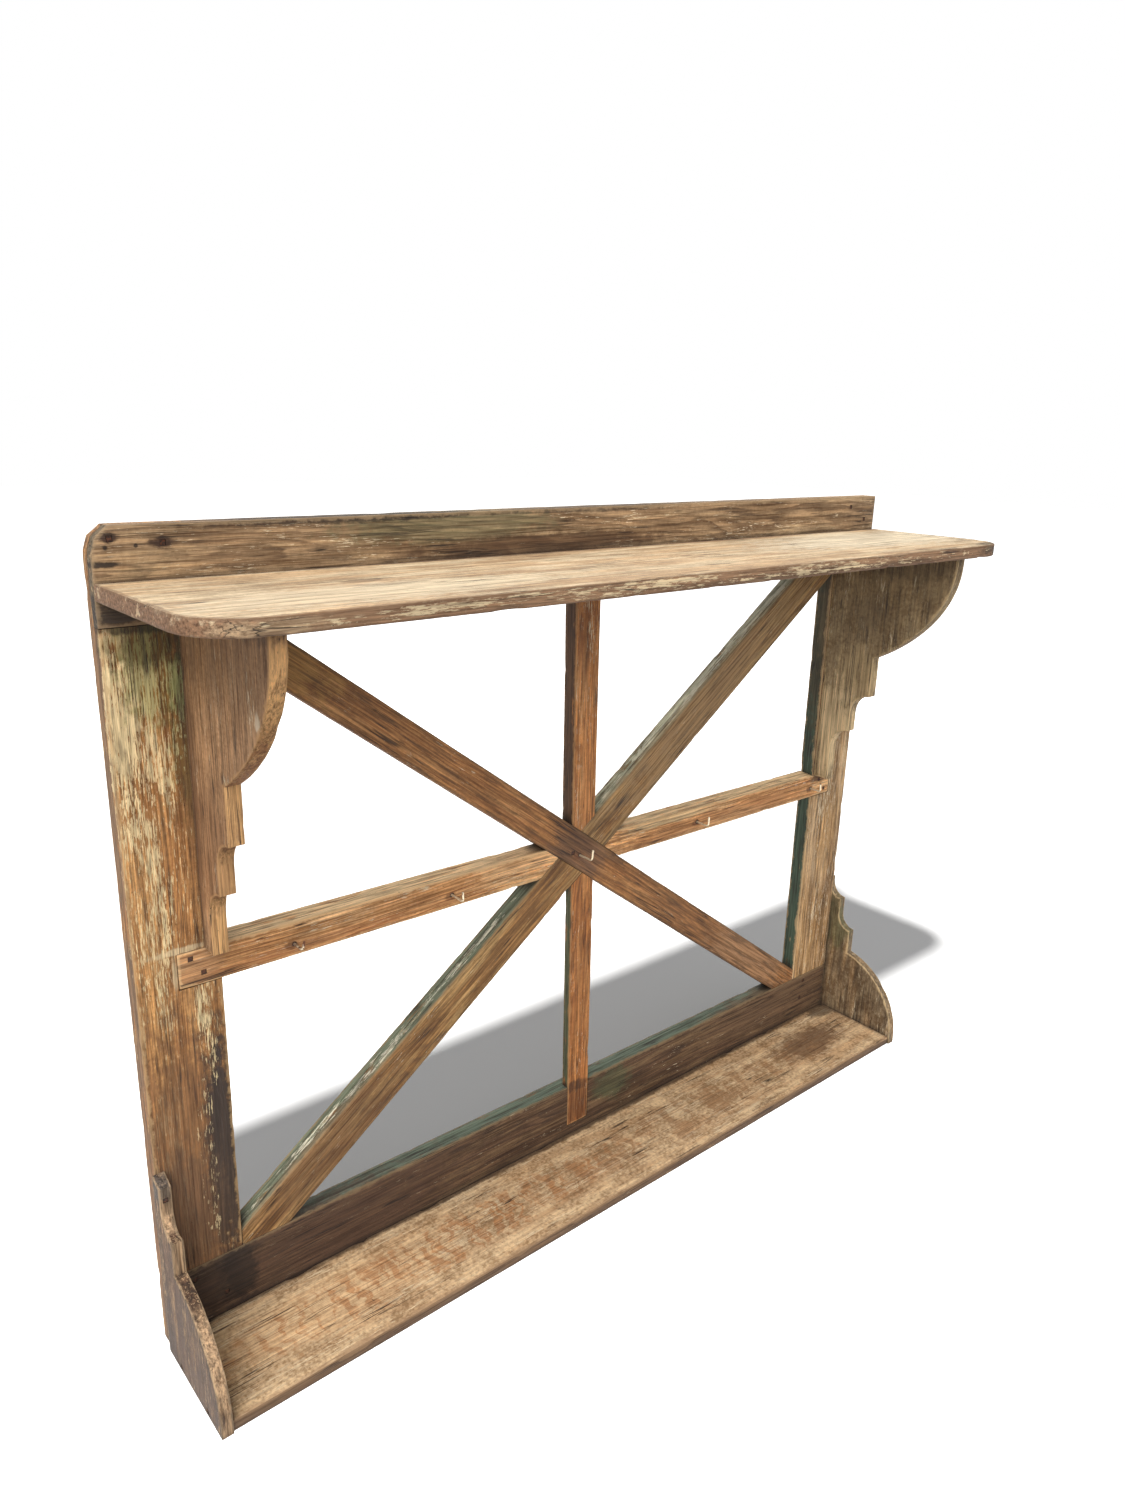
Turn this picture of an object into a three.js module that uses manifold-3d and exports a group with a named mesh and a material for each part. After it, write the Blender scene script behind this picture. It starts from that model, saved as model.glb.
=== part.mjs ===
// Antique wall shelf: a lapped board frame with a crossed lattice, an upper shelf on two scrolled
// brackets, a low tray shelf between two scrolled cheeks, five screw hooks and the nails.
// Millimetres, +Z up. It is laid out with X along the shelf from the frame's left side, the frame's
// front face in the plane y = 0, the room towards -Y, the wall at y = FRAME_T and the underside at
// z = 0. The finished group is then moved so that its origin is the centre of its underside.
import * as THREE from 'three';
import { mergeVertices } from 'three/addons/utils/BufferGeometryUtils.js';
import Module from 'manifold-3d';

const wasm = await Module();
wasm.setup();

// Frame.
const FRAME_W = 1100;
const FRAME_H = 844;
const FRAME_T = 23;
const GAP = 0.3;                  // clearance left at every cut joint
const LAP = FRAME_T / 2;          // depth of the half laps
const STILE_L = 83;
const STILE_R = 87;
const BOTTOM_RAIL_H = 86;
const TOP_RAIL_Z = 759;
const OPEN_X0 = STILE_L;
const OPEN_X1 = FRAME_W - STILE_R;
const OUTSIDE = 1;                // how far a cutter reaches past the wood it cuts

// The frame's upper left corner is broken away.
const BROKEN_W = 15;
const BROKEN_H = 23;

// Middle rail: let into the stiles, and a little lower at its right end.
const MID_X0 = 40;
const MID_X1 = 1057;
const MID_TOP = 444;
const MID_BOTTOM = 406;
const MID_TOP_FALL = 13;          // over the full frame width
const MID_BOTTOM_FALL = 8.5;
const MID_BACK_RISE = 3;          // the top face slopes up towards the wall

// Lattice bars, each given by the heights of its two edges at two stations.
const BAR_XA = 110;
const BAR_XB = 990;
const FALLING = { topA: 777, bottomA: 725, topB: 121, bottomB: 66 };
const RISING = { topA: 125, bottomA: 66, topB: 780, bottomB: 720 };
const LAYER_1 = FRAME_T / 3;      // where three bars cross, each keeps a third of the thickness
const LAYER_2 = (2 * FRAME_T) / 3;
const CROSS_Z = 420;
const BAR_SLOPE = (RISING.topB - RISING.topA) / (BAR_XB - BAR_XA);

// Upright in two lengths, leaning slightly to the right on the way down.
const UPRIGHT_TOP_X = 528.5;
const UPRIGHT_BOTTOM_X = 538.5;
const UPRIGHT_TOP_W = 38;
const UPRIGHT_BOTTOM_W = 36;
const UPRIGHT_UPPER_T = 20;
const UPRIGHT_LOWER_T = 11.5;
const UPRIGHT_FOOT_Z = 26;        // the foot is let into the bottom rail's face

// Shelves.
const SHELF_Z = 782;
const SHELF_T = 15;
const SHELF_DEPTH = 213;
const SHELF_W = 1103;
const SHELF_CORNER_R = 56;
const TRAY_T = 12.7;
const TRAY_DEPTH = 130.6;
const TRAY_BEVEL = 3;

// Brackets under the upper shelf: a lobe and two coves between three upright edges.
const BRACKET_T = 16;
const BRACKET_L_X = 67;
const BRACKET_R_X = 1016;
const BRACKET_L_SCALE = 0.95;     // the left one was sawn a little shallower
const BRACKET_REACH = 190.6;
const BRACKET_EDGES = [80.5, 52, 23.5];
const BRACKET_NOSE_Z = 770;
const BRACKET_LOBE_FOOT_Z = 627;
const BRACKET_PULL_HIGH_Z = 705;  // Bezier handles of the lobe
const BRACKET_PULL_LOW = [135, 655];
const BRACKET_COVE_TOPS = [571, 514];

// Cheeks at the ends of the tray: the same figure turned over and made smaller.
const CHEEK_T = 12.5;
const CHEEK_L_X = -3;
const CHEEK_R_X = FRAME_W;
const CHEEK_REACH = 133;
const CHEEK_LOBE_R = 114;
const CHEEK_LOBE_Z = 10;
const CHEEK_EDGES = [39, 16.5, -6];
const CHEEK_COVE_FEET = [160, 209];
const CHEEK_TOP = 240;

// Screw hooks in a row along the middle rail.
const WIRE_R = 1.1;
const WIRE_SEGMENTS = 8;
const WIRE_STEPS = 26;
const HOOK_BITE = 14;
const HOOK_BEND = 4;
const HOOKS = [
  { x: 160, z: 418, reach: 18, rise: 9.5, turn: 14 },
  { x: 354, z: 418.5, reach: 23, rise: 11.5, turn: -4 },
  { x: 547, z: 419, reach: 22.5, rise: 13.5, turn: 5 },
  { x: 760, z: 415, reach: 21, rise: 13, turn: 2 },
  { x: 1012, z: 412, reach: 18, rise: 12, turn: -3 },
];

// Square cut nails.
const NAIL_HEAD_R = 3;
const NAIL_HEAD_T = 1;
const NAIL_SHANK_R = 1.5;
const NAIL_SHORT = 19;
const NAIL_LONG = 45;             // through the frame and into a shelf or bracket
const NAIL_MEDIUM = 31;           // through a cheek
const NAIL_POINT = 5;
const NAIL_SINK = 0.6;            // heads lie a little below the wood

// --- solids ---------------------------------------------------------------------------------

function solidFrom(geometry) {
  geometry.deleteAttribute('normal');
  geometry.deleteAttribute('uv');
  const merged = mergeVertices(geometry, 1e-4);
  const mesh = new wasm.Mesh({
    numProp: 3,
    vertProperties: new Float32Array(merged.attributes.position.array),
    triVerts: new Uint32Array(merged.index.array),
  });
  return new wasm.Manifold(mesh);
}

function geometryFrom(solid) {
  const mesh = solid.getMesh();
  const geometry = new THREE.BufferGeometry();
  geometry.setAttribute('position', new THREE.BufferAttribute(new Float32Array(mesh.vertProperties), 3));
  geometry.setIndex(new THREE.BufferAttribute(new Uint32Array(mesh.triVerts), 1));
  return geometry;
}

// An outline drawn in (x, z), given thickness from y0 to y1.
function boardXZ(shape, y0, y1) {
  const geometry = new THREE.ExtrudeGeometry(shape, { depth: y1 - y0, bevelEnabled: false });
  geometry.rotateX(Math.PI / 2);
  geometry.translate(0, y1, 0);
  return geometry;
}

// An outline drawn in (y, z), given thickness from x0 to x1.
function boardYZ(shape, x0, x1, curveSegments = 8) {
  const geometry = new THREE.ExtrudeGeometry(shape, { depth: x1 - x0, bevelEnabled: false, curveSegments });
  geometry.applyMatrix4(new THREE.Matrix4().set(0, 0, 1, x0, 1, 0, 0, 0, 0, 1, 0, 0, 0, 0, 0, 1));
  return geometry;
}

function box(x0, x1, y0, y1, z0, z1) {
  const geometry = new THREE.BoxGeometry(x1 - x0, y1 - y0, z1 - z0);
  geometry.translate((x0 + x1) / 2, (y0 + y1) / 2, (z0 + z1) / 2);
  return solidFrom(geometry);
}

function polygon(points) {
  return new THREE.Shape(points.map(([a, b]) => new THREE.Vector2(a, b)));
}

// --- frame members --------------------------------------------------------------------------

const lineAt = (xa, za, xb, zb) => (x) => za + ((zb - za) * (x - xa)) / (xb - xa);
const midTop = (x) => MID_TOP - (MID_TOP_FALL * x) / FRAME_W;
const midBottom = (x) => MID_BOTTOM - (MID_BOTTOM_FALL * x) / FRAME_W;

// The middle rail's outline between two stations, grown by a margin; its back arris sits higher.
function midRailSolid(y0, y1, grow = 0) {
  const shape = polygon([
    [MID_X0 - grow, midBottom(MID_X0) - grow],
    [MID_X1 + grow, midBottom(MID_X1) - grow],
    [MID_X1 + grow, midTop(MID_X1) + grow],
    [MID_X0 - grow, midTop(MID_X0) + grow],
  ]);
  const geometry = boardXZ(shape, y0, y1);
  const position = geometry.attributes.position;
  for (let i = 0; i < position.count; i += 1) {
    if (position.getZ(i) > CROSS_Z) {
      const back = position.getY(i) / FRAME_T;
      position.setZ(i, position.getZ(i) + MID_BACK_RISE * back);
    }
  }
  return solidFrom(geometry);
}

// A slanting lattice bar, grown by a margin and kept inside the frame's opening.
function barSolid(bar, y0, y1, grow = 0) {
  const top = lineAt(BAR_XA, bar.topA, BAR_XB, bar.topB);
  const bottom = lineAt(BAR_XA, bar.bottomA, BAR_XB, bar.bottomB);
  const rise = grow * Math.hypot(1, BAR_SLOPE);
  const shape = polygon([
    [0, bottom(0) - rise],
    [FRAME_W, bottom(FRAME_W) - rise],
    [FRAME_W, top(FRAME_W) + rise],
    [0, top(0) + rise],
  ]);
  const opening = box(
    OPEN_X0 + GAP, OPEN_X1 - GAP,
    y0 - OUTSIDE, y1 + OUTSIDE,
    BOTTOM_RAIL_H + GAP, TOP_RAIL_Z - GAP,
  );
  return solidFrom(boardXZ(shape, y0, y1)).intersect(opening);
}

// The upright's outline over a stretch of height.
function uprightSolid(z0, z1, y0, y1, grow = 0) {
  const left = lineAt(SHELF_Z, UPRIGHT_TOP_X, BOTTOM_RAIL_H, UPRIGHT_BOTTOM_X);
  const width = lineAt(SHELF_Z, UPRIGHT_TOP_W, BOTTOM_RAIL_H, UPRIGHT_BOTTOM_W);
  const shape = polygon([
    [left(z0) - grow, z0 - grow],
    [left(z0) + width(z0) + grow, z0 - grow],
    [left(z1) + width(z1) + grow, z1 + grow],
    [left(z1) - grow, z1 + grow],
  ]);
  return solidFrom(boardXZ(shape, y0, y1));
}

// What is missing at the frame's upper left corner, as a cutter.
function brokenCorner() {
  const shape = polygon([
    [0, FRAME_H - BROKEN_H],
    [0.3 * BROKEN_W, FRAME_H - 0.4 * BROKEN_H],
    [BROKEN_W, FRAME_H],
    [BROKEN_W, FRAME_H + OUTSIDE],
    [-OUTSIDE, FRAME_H + OUTSIDE],
    [-OUTSIDE, FRAME_H - BROKEN_H],
  ]);
  return solidFrom(boardXZ(shape, -OUTSIDE, FRAME_T + OUTSIDE));
}

// The rails lie in the front half of each corner joint, and the stiles in the back half.
const LAP_BACK = LAP + GAP / 2;
const LAP_FRONT = LAP - GAP / 2;

function stile(x0, x1) {
  return box(x0, x1, 0, FRAME_T, 0, FRAME_H)
    .subtract(box(x0 - OUTSIDE, x1 + OUTSIDE, -OUTSIDE, LAP_BACK, TOP_RAIL_Z - GAP, FRAME_H + OUTSIDE))
    .subtract(box(x0 - OUTSIDE, x1 + OUTSIDE, -OUTSIDE, LAP_BACK, -OUTSIDE, BOTTOM_RAIL_H + GAP))
    .subtract(midRailSolid(-OUTSIDE, LAP_BACK, GAP))
    .subtract(brokenCorner());
}

function rail(z0, z1) {
  return box(0, FRAME_W, 0, FRAME_T, z0, z1)
    .subtract(box(-OUTSIDE, OPEN_X0 + GAP, LAP_FRONT, FRAME_T + OUTSIDE, z0 - OUTSIDE, z1 + OUTSIDE))
    .subtract(box(OPEN_X1 - GAP, FRAME_W + OUTSIDE, LAP_FRONT, FRAME_T + OUTSIDE, z0 - OUTSIDE, z1 + OUTSIDE));
}

function topRail() {
  return rail(TOP_RAIL_Z, FRAME_H)
    .subtract(uprightSolid(TOP_RAIL_Z - OUTSIDE, SHELF_Z, -OUTSIDE, LAP_BACK, GAP))
    .subtract(brokenCorner());
}

function bottomRail() {
  return rail(0, BOTTOM_RAIL_H)
    .subtract(uprightSolid(UPRIGHT_FOOT_Z, BOTTOM_RAIL_H + OUTSIDE, -OUTSIDE, UPRIGHT_LOWER_T + GAP, GAP));
}

function midRail() {
  return midRailSolid(0, FRAME_T)
    .subtract(box(0, OPEN_X0 + GAP, LAP_FRONT, FRAME_T + OUTSIDE, 0, FRAME_H))
    .subtract(box(OPEN_X1 - GAP, FRAME_W, LAP_FRONT, FRAME_T + OUTSIDE, 0, FRAME_H))
    .subtract(barSolid(FALLING, -OUTSIDE, LAYER_2 + GAP / 2, GAP))
    .subtract(barSolid(RISING, -OUTSIDE, LAYER_2 + GAP / 2, GAP));
}

function fallingBar() {
  return barSolid(FALLING, 0, FRAME_T)
    .subtract(barSolid(RISING, LAYER_1 - GAP / 2, FRAME_T + OUTSIDE, GAP))
    .subtract(midRailSolid(LAYER_2 - GAP / 2, FRAME_T + OUTSIDE, GAP));
}

function risingBar() {
  return barSolid(RISING, 0, FRAME_T)
    .subtract(barSolid(FALLING, -OUTSIDE, LAYER_1 + GAP / 2, GAP))
    .subtract(midRailSolid(LAYER_2 - GAP / 2, FRAME_T + OUTSIDE, GAP));
}

function withoutCrossing(solid) {
  return solid
    .subtract(barSolid(FALLING, -OUTSIDE, FRAME_T + OUTSIDE, GAP))
    .subtract(barSolid(RISING, -OUTSIDE, FRAME_T + OUTSIDE, GAP))
    .subtract(midRailSolid(-OUTSIDE, FRAME_T + OUTSIDE, GAP));
}

function upperUpright() {
  const bar = uprightSolid(CROSS_Z, SHELF_Z, 0, UPRIGHT_UPPER_T);
  const tongueBack = box(0, FRAME_W, LAP_FRONT, FRAME_T, TOP_RAIL_Z - GAP, FRAME_H);
  return withoutCrossing(bar.subtract(tongueBack));
}

function lowerUpright() {
  return withoutCrossing(uprightSolid(UPRIGHT_FOOT_Z, CROSS_Z, 0, UPRIGHT_LOWER_T));
}

// --- shelves, brackets and cheeks -----------------------------------------------------------

function upperShelf() {
  const r = SHELF_CORNER_R;
  const shape = new THREE.Shape();
  shape.moveTo(0, 0);
  shape.lineTo(0, r - SHELF_DEPTH);
  shape.absarc(r, r - SHELF_DEPTH, r, Math.PI, 1.5 * Math.PI, false);
  shape.lineTo(SHELF_W - r, -SHELF_DEPTH);
  shape.absarc(SHELF_W - r, r - SHELF_DEPTH, r, -0.5 * Math.PI, 0, false);
  shape.lineTo(SHELF_W, 0);
  const geometry = new THREE.ExtrudeGeometry(shape, { depth: SHELF_T, bevelEnabled: false, curveSegments: 10 });
  geometry.translate(0, 0, SHELF_Z);
  return solidFrom(geometry);
}

function trayShelf() {
  const shape = polygon([
    [0, 0],
    [0, TRAY_T],
    [TRAY_BEVEL - TRAY_DEPTH, TRAY_T],
    [-TRAY_DEPTH, TRAY_T - TRAY_BEVEL],
    [-TRAY_DEPTH, 0],
  ]);
  return solidFrom(boardYZ(shape, CHEEK_L_X + CHEEK_T, CHEEK_R_X));
}

function bracket(x0, scale, footZ) {
  const reach = BRACKET_REACH * scale;
  const [outer, middle, inner] = BRACKET_EDGES.map((edge) => edge * scale);
  const shape = new THREE.Shape();
  shape.moveTo(0, SHELF_Z);
  shape.lineTo(0, footZ);
  shape.lineTo(-inner, footZ);
  const [upperCove, lowerCove] = BRACKET_COVE_TOPS;
  const lowerR = middle - inner;
  const upperR = outer - middle;
  shape.lineTo(-inner, lowerCove - lowerR);
  shape.absarc(-middle, lowerCove - lowerR, lowerR, 0, Math.PI / 2, false);
  shape.lineTo(-middle, upperCove - upperR);
  shape.absarc(-outer, upperCove - upperR, upperR, 0, Math.PI / 2, false);
  shape.lineTo(-outer, BRACKET_LOBE_FOOT_Z);
  const [pullY, pullZ] = BRACKET_PULL_LOW;
  shape.bezierCurveTo(-pullY * scale, pullZ, -reach, BRACKET_PULL_HIGH_Z, -reach, BRACKET_NOSE_Z);
  shape.lineTo(-reach, SHELF_Z);
  return solidFrom(boardYZ(shape, x0, x0 + BRACKET_T, 10));
}

function cheek(x0, backY) {
  const [outer, middle, inner] = CHEEK_EDGES;
  const [lowerCove, upperCove] = CHEEK_COVE_FEET;
  const lowerR = outer - middle;
  const upperR = middle - inner;
  const lobeY = CHEEK_LOBE_R - CHEEK_REACH;
  const lobeEnd = Math.acos((lobeY + outer) / CHEEK_LOBE_R);
  const shape = new THREE.Shape();
  shape.moveTo(FRAME_T, 0);
  shape.lineTo(FRAME_T, CHEEK_TOP);
  shape.lineTo(-inner, CHEEK_TOP);
  shape.lineTo(-inner, upperCove + upperR);
  shape.absarc(-middle, upperCove + upperR, upperR, 0, -Math.PI / 2, true);
  shape.lineTo(-middle, lowerCove + lowerR);
  shape.absarc(-outer, lowerCove + lowerR, lowerR, 0, -Math.PI / 2, true);
  shape.absarc(lobeY, CHEEK_LOBE_Z, CHEEK_LOBE_R, Math.PI - lobeEnd, Math.PI, false);
  shape.lineTo(-CHEEK_REACH, 0);
  const whole = solidFrom(boardYZ(shape, x0, x0 + CHEEK_T, 12));
  const inFront = box(
    x0 - OUTSIDE, x0 + CHEEK_T + OUTSIDE,
    -CHEEK_REACH - OUTSIDE, backY,
    -OUTSIDE, CHEEK_TOP + OUTSIDE,
  );
  return whole.intersect(inFront);
}

// --- hooks and nails ------------------------------------------------------------------------

// Wire that leaves the wood towards -Y and turns up; the turn angle leans the tip sideways.
function hook({ x, z, reach, rise, turn }) {
  const path = new THREE.CatmullRomCurve3([
    new THREE.Vector3(0, HOOK_BITE, 0),
    new THREE.Vector3(0, 0, 0),
    new THREE.Vector3(0, HOOK_BEND - reach, 0),
    new THREE.Vector3(0, -reach + HOOK_BEND * 0.3, HOOK_BEND * 0.3),
    new THREE.Vector3(0, -reach, HOOK_BEND),
    new THREE.Vector3(0, -reach, rise),
  ], false, 'centripetal');
  const section = new THREE.Shape();
  section.absarc(0, 0, WIRE_R, 0, 2 * Math.PI, false);
  const geometry = new THREE.ExtrudeGeometry(section, {
    extrudePath: path, steps: WIRE_STEPS, curveSegments: WIRE_SEGMENTS, bevelEnabled: false,
  });
  geometry.rotateY(THREE.MathUtils.degToRad(turn));
  geometry.translate(x, 0, z);
  return solidFrom(geometry);
}

// A nail pointing along +Y from its head at y = 0, made larger by a margin when used as a cutter.
function nailGeometry(length, grow = 0) {
  const head = NAIL_HEAD_R + grow;
  const shank = NAIL_SHANK_R + grow;
  const top = grow > 0 ? -NAIL_SINK - OUTSIDE : 0;
  const profile = [
    [0, top],
    [head, top],
    [head, NAIL_HEAD_T + grow],
    [shank, NAIL_HEAD_T + grow],
    [shank, length - NAIL_POINT],
    [0, length + grow],
  ];
  const geometry = new THREE.LatheGeometry(profile.map(([r, y]) => new THREE.Vector2(r, y)), 4);
  geometry.rotateY(Math.PI / 4);
  return geometry;
}

// direction: the unit axis the nail is driven along; at: the point on the wood's face.
function nail({ at, direction, length = NAIL_SHORT }, grow = 0) {
  const geometry = nailGeometry(length, grow);
  const along = new THREE.Vector3(...direction);
  geometry.translate(0, NAIL_SINK, 0);
  geometry.applyQuaternion(new THREE.Quaternion().setFromUnitVectors(new THREE.Vector3(0, 1, 0), along));
  geometry.translate(...at);
  return solidFrom(geometry);
}

// Nails driven from the front, from behind, and from the two ends.
const fromFront = (x, z, y = 0, length = NAIL_SHORT) => ({ at: [x, y, z], direction: [0, 1, 0], length });
const fromBack = (x, z) => ({ at: [x, FRAME_T, z], direction: [0, -1, 0], length: NAIL_LONG });
const fromLeft = (y, z) => ({ at: [CHEEK_L_X, y, z], direction: [1, 0, 0], length: NAIL_MEDIUM });
const fromRight = (y, z) => ({ at: [CHEEK_R_X + CHEEK_T, y, z], direction: [-1, 0, 0], length: NAIL_MEDIUM });

const SHELF_MID_Z = SHELF_Z + SHELF_T / 2;
const TRAY_MID_Z = TRAY_T / 2;
const BRACKET_L_MID = BRACKET_L_X + BRACKET_T / 2;
const BRACKET_R_MID = BRACKET_R_X + BRACKET_T / 2;

const NAILS = {
  nail_top_left_1: fromFront(16, 833),
  nail_top_left_2: fromFront(60, 828),
  nail_top_right_1: fromFront(1042, 830),
  nail_top_right_2: fromFront(1076, 812),
  nail_mid_left_1: fromFront(53, 435),
  nail_mid_left_2: fromFront(65, 417.5),
  nail_mid_right_1: fromFront(1031, 423),
  nail_mid_right_2: fromFront(1045, 406),
  nail_bottom_left_1: fromFront(30, 70),
  nail_bottom_left_2: fromFront(62, 36),
  nail_bottom_right_1: fromFront(1043, 74),
  nail_bottom_right_2: fromFront(1038, 45),
  nail_crossing: fromFront(535.4, 424.5),
  nail_cheek_edge: fromFront(3, 195, -CHEEK_EDGES[1], NAIL_MEDIUM),
  nail_bracket_left_1: fromBack(BRACKET_L_MID, 700),
  nail_bracket_left_2: fromBack(BRACKET_L_MID, 560),
  nail_bracket_right_1: fromBack(BRACKET_R_MID, 700),
  nail_bracket_right_2: fromBack(BRACKET_R_MID, 560),
  nail_shelf_back_1: fromBack(200, SHELF_MID_Z),
  nail_shelf_back_2: fromBack(620, SHELF_MID_Z),
  nail_shelf_back_3: fromBack(900, SHELF_MID_Z),
  nail_tray_back_1: fromBack(200, TRAY_MID_Z),
  nail_tray_back_2: fromBack(620, TRAY_MID_Z),
  nail_tray_back_3: fromBack(900, TRAY_MID_Z),
  nail_tray_left_1: fromLeft(-35, TRAY_MID_Z),
  nail_tray_left_2: fromLeft(-100, TRAY_MID_Z),
  nail_tray_right_1: fromRight(-35, TRAY_MID_Z),
  nail_tray_right_2: fromRight(-100, TRAY_MID_Z),
  nail_cheek_right_1: fromRight(12, 110),
  nail_cheek_right_2: fromRight(15, 200),
};

// Pilot hole of a hook.
function hookHole({ x, z }) {
  const depth = HOOK_BITE + GAP;
  const geometry = new THREE.CylinderGeometry(WIRE_R + GAP, WIRE_R + GAP, depth + OUTSIDE, WIRE_SEGMENTS);
  geometry.translate(x, (depth - OUTSIDE) / 2, z);
  return solidFrom(geometry);
}

// --- assembly -------------------------------------------------------------------------------

const WOOD = {
  stile_left: { solid: stile(0, STILE_L), colour: 0x8a6238 },
  stile_right: { solid: stile(OPEN_X1, FRAME_W), colour: 0xa5804e },
  top_rail: { solid: topRail(), colour: 0x8b6b45 },
  bottom_rail: { solid: bottomRail(), colour: 0x6f4d35 },
  mid_rail: { solid: midRail(), colour: 0xa0703f },
  diagonal_falling: { solid: fallingBar(), colour: 0x7a5030 },
  diagonal_rising: { solid: risingBar(), colour: 0x8f7145 },
  upright_upper: { solid: upperUpright(), colour: 0x8c5a30 },
  upright_lower: { solid: lowerUpright(), colour: 0x9a6335 },
  upper_shelf: { solid: upperShelf(), colour: 0xb89a72 },
  tray_shelf: { solid: trayShelf(), colour: 0xa98a66 },
  bracket_left: { solid: bracket(BRACKET_L_X, BRACKET_L_SCALE, midTop(BRACKET_L_X)), colour: 0x84684c },
  bracket_right: { solid: bracket(BRACKET_R_X, 1, midTop(BRACKET_R_X)), colour: 0x6d5842 },
  cheek_left: { solid: cheek(CHEEK_L_X, 0), colour: 0x5c4c3c },
  cheek_right: { solid: cheek(CHEEK_R_X, FRAME_T), colour: 0x6b5a3c },
};

const holes = wasm.Manifold.union([
  ...Object.values(NAILS).map((spec) => nail(spec, GAP)),
  ...HOOKS.map(hookHole),
]);

const group = new THREE.Group();
group.position.set(-(CHEEK_L_X + CHEEK_R_X + CHEEK_T) / 2, (SHELF_DEPTH - FRAME_T) / 2, 0);

function addNode(name, solid, colour, roughness, metalness) {
  const material = new THREE.MeshStandardMaterial({ color: colour, roughness, metalness });
  const mesh = new THREE.Mesh(geometryFrom(solid), material);
  mesh.name = name;
  group.add(mesh);
}

for (const [name, { solid, colour }] of Object.entries(WOOD)) {
  addNode(name, solid.subtract(holes), colour, 0.8, 0);
}
HOOKS.forEach((spec, i) => addNode(`hook_${i + 1}`, hook(spec), 0xb8a98c, 0.45, 0.85));
for (const [name, spec] of Object.entries(NAILS)) {
  addNode(name, nail(spec), 0x3a2c22, 0.7, 0.6);
}

export default group;
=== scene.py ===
import math

import bmesh
import bpy
from mathutils import Matrix, Vector, noise


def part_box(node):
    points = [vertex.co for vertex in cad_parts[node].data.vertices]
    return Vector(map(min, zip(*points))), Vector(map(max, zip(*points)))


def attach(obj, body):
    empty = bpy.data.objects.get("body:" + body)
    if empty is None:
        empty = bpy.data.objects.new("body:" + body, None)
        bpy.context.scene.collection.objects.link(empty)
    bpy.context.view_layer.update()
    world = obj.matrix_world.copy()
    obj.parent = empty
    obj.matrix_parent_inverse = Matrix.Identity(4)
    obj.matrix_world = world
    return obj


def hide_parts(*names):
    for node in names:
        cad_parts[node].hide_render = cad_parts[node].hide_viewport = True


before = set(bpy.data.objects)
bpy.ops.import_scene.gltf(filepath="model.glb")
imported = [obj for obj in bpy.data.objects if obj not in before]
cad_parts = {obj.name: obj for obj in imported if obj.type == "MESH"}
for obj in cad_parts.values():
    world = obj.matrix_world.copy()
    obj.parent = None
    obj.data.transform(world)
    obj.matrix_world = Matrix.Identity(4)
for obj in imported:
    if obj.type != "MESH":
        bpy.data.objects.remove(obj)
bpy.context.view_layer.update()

MM = 0.001

# ---------------------------------------------------------------- layout
# Lay-out coordinates are millimetres from the frame's lower left front corner: x along the shelf,
# y towards the wall, z up. at() turns them into scene coordinates.

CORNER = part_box("bottom_rail")[0]
FRAME_W = (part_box("bottom_rail")[1].x - CORNER.x) / MM
FRAME_T = (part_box("bottom_rail")[1].y - CORNER.y) / MM
FRAME_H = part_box("top_rail")[1].z / MM


def at(x, y, z):
    return CORNER + Vector((x, y, z)) * MM


def limits(node):
    """A node's box in lay-out millimetres: (x0, x1), (y0, y1), (z0, z1)."""
    low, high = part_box(node)
    return [((low[i] - CORNER[i]) / MM, (high[i] - CORNER[i]) / MM) for i in range(3)]


GAP = 0.3  # clearance at every cut joint
OVER = 1  # how far a cutter stands out of the wood
LAP = FRAME_T / 2
FRONT_LAP = (-OVER, LAP + GAP / 2)
BEHIND_LAP = (LAP - GAP / 2, FRAME_T + OVER)
THROUGH = (-OVER, FRAME_T + OVER)
STILE_L = limits("stile_left")[0][1]
OPEN_X1 = limits("stile_right")[0][0]
BOTTOM_RAIL_H = limits("bottom_rail")[2][1]
TOP_RAIL_Z = limits("top_rail")[2][0]
MID_X0, MID_X1 = limits("mid_rail")[0]
MID_TOP, MID_BOTTOM = 444, 406  # the middle rail's edges at x = 0
MID_TOP_FALL, MID_BOTTOM_FALL = 13, 8.5  # how far they fall over the frame's width
MID_BACK_RISE = 3
CROSS_Z = 420
BAR_XA, BAR_XB = 110, 990  # where the bars' edges are given
FALLING = (777, 725, 121, 66)  # top and bottom at BAR_XA, then at BAR_XB
RISING = (125, 66, 780, 720)
BAR_SLANT = 1.25  # vertical room in a slanting notch for each mm of gap
LAYER_1, LAYER_2 = FRAME_T / 3, 2 * FRAME_T / 3
SHELF_Z = limits("upper_shelf")[2][0]
UPRIGHT_X = (528.5, 538.5)  # left edge at the shelf and at the bottom rail
UPRIGHT_W = (38, 36)
SHELF_CORNER_R = 56
BRACKET_EDGES = (80.5, 52, 23.5)  # how far out each step's edge is, from the lobe's foot down
BRACKET_COVE_TOPS = (571, 514)
BRACKET_LOBE_FOOT_Z = 627
BRACKET_NOSE_Z = 770
BRACKET_BELLY = (135, 705, 655)  # pulls the lobe's curve: out, upper height, lower height
BRACKET_L_SCALE = 0.95
CHEEK_EDGES = (39, 16.5, -6)
CHEEK_COVE_FEET = (160, 209)
CHEEK_LOBE_R, CHEEK_LOBE_Z = 114, 10
BROKEN_CORNER = (15, 23)  # how far across and down the break reaches


def line_at(xa, za, xb, zb):
    return lambda x: za + (zb - za) * (x - xa) / (xb - xa)


def mid_top(x):
    return MID_TOP - MID_TOP_FALL * x / FRAME_W


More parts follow.
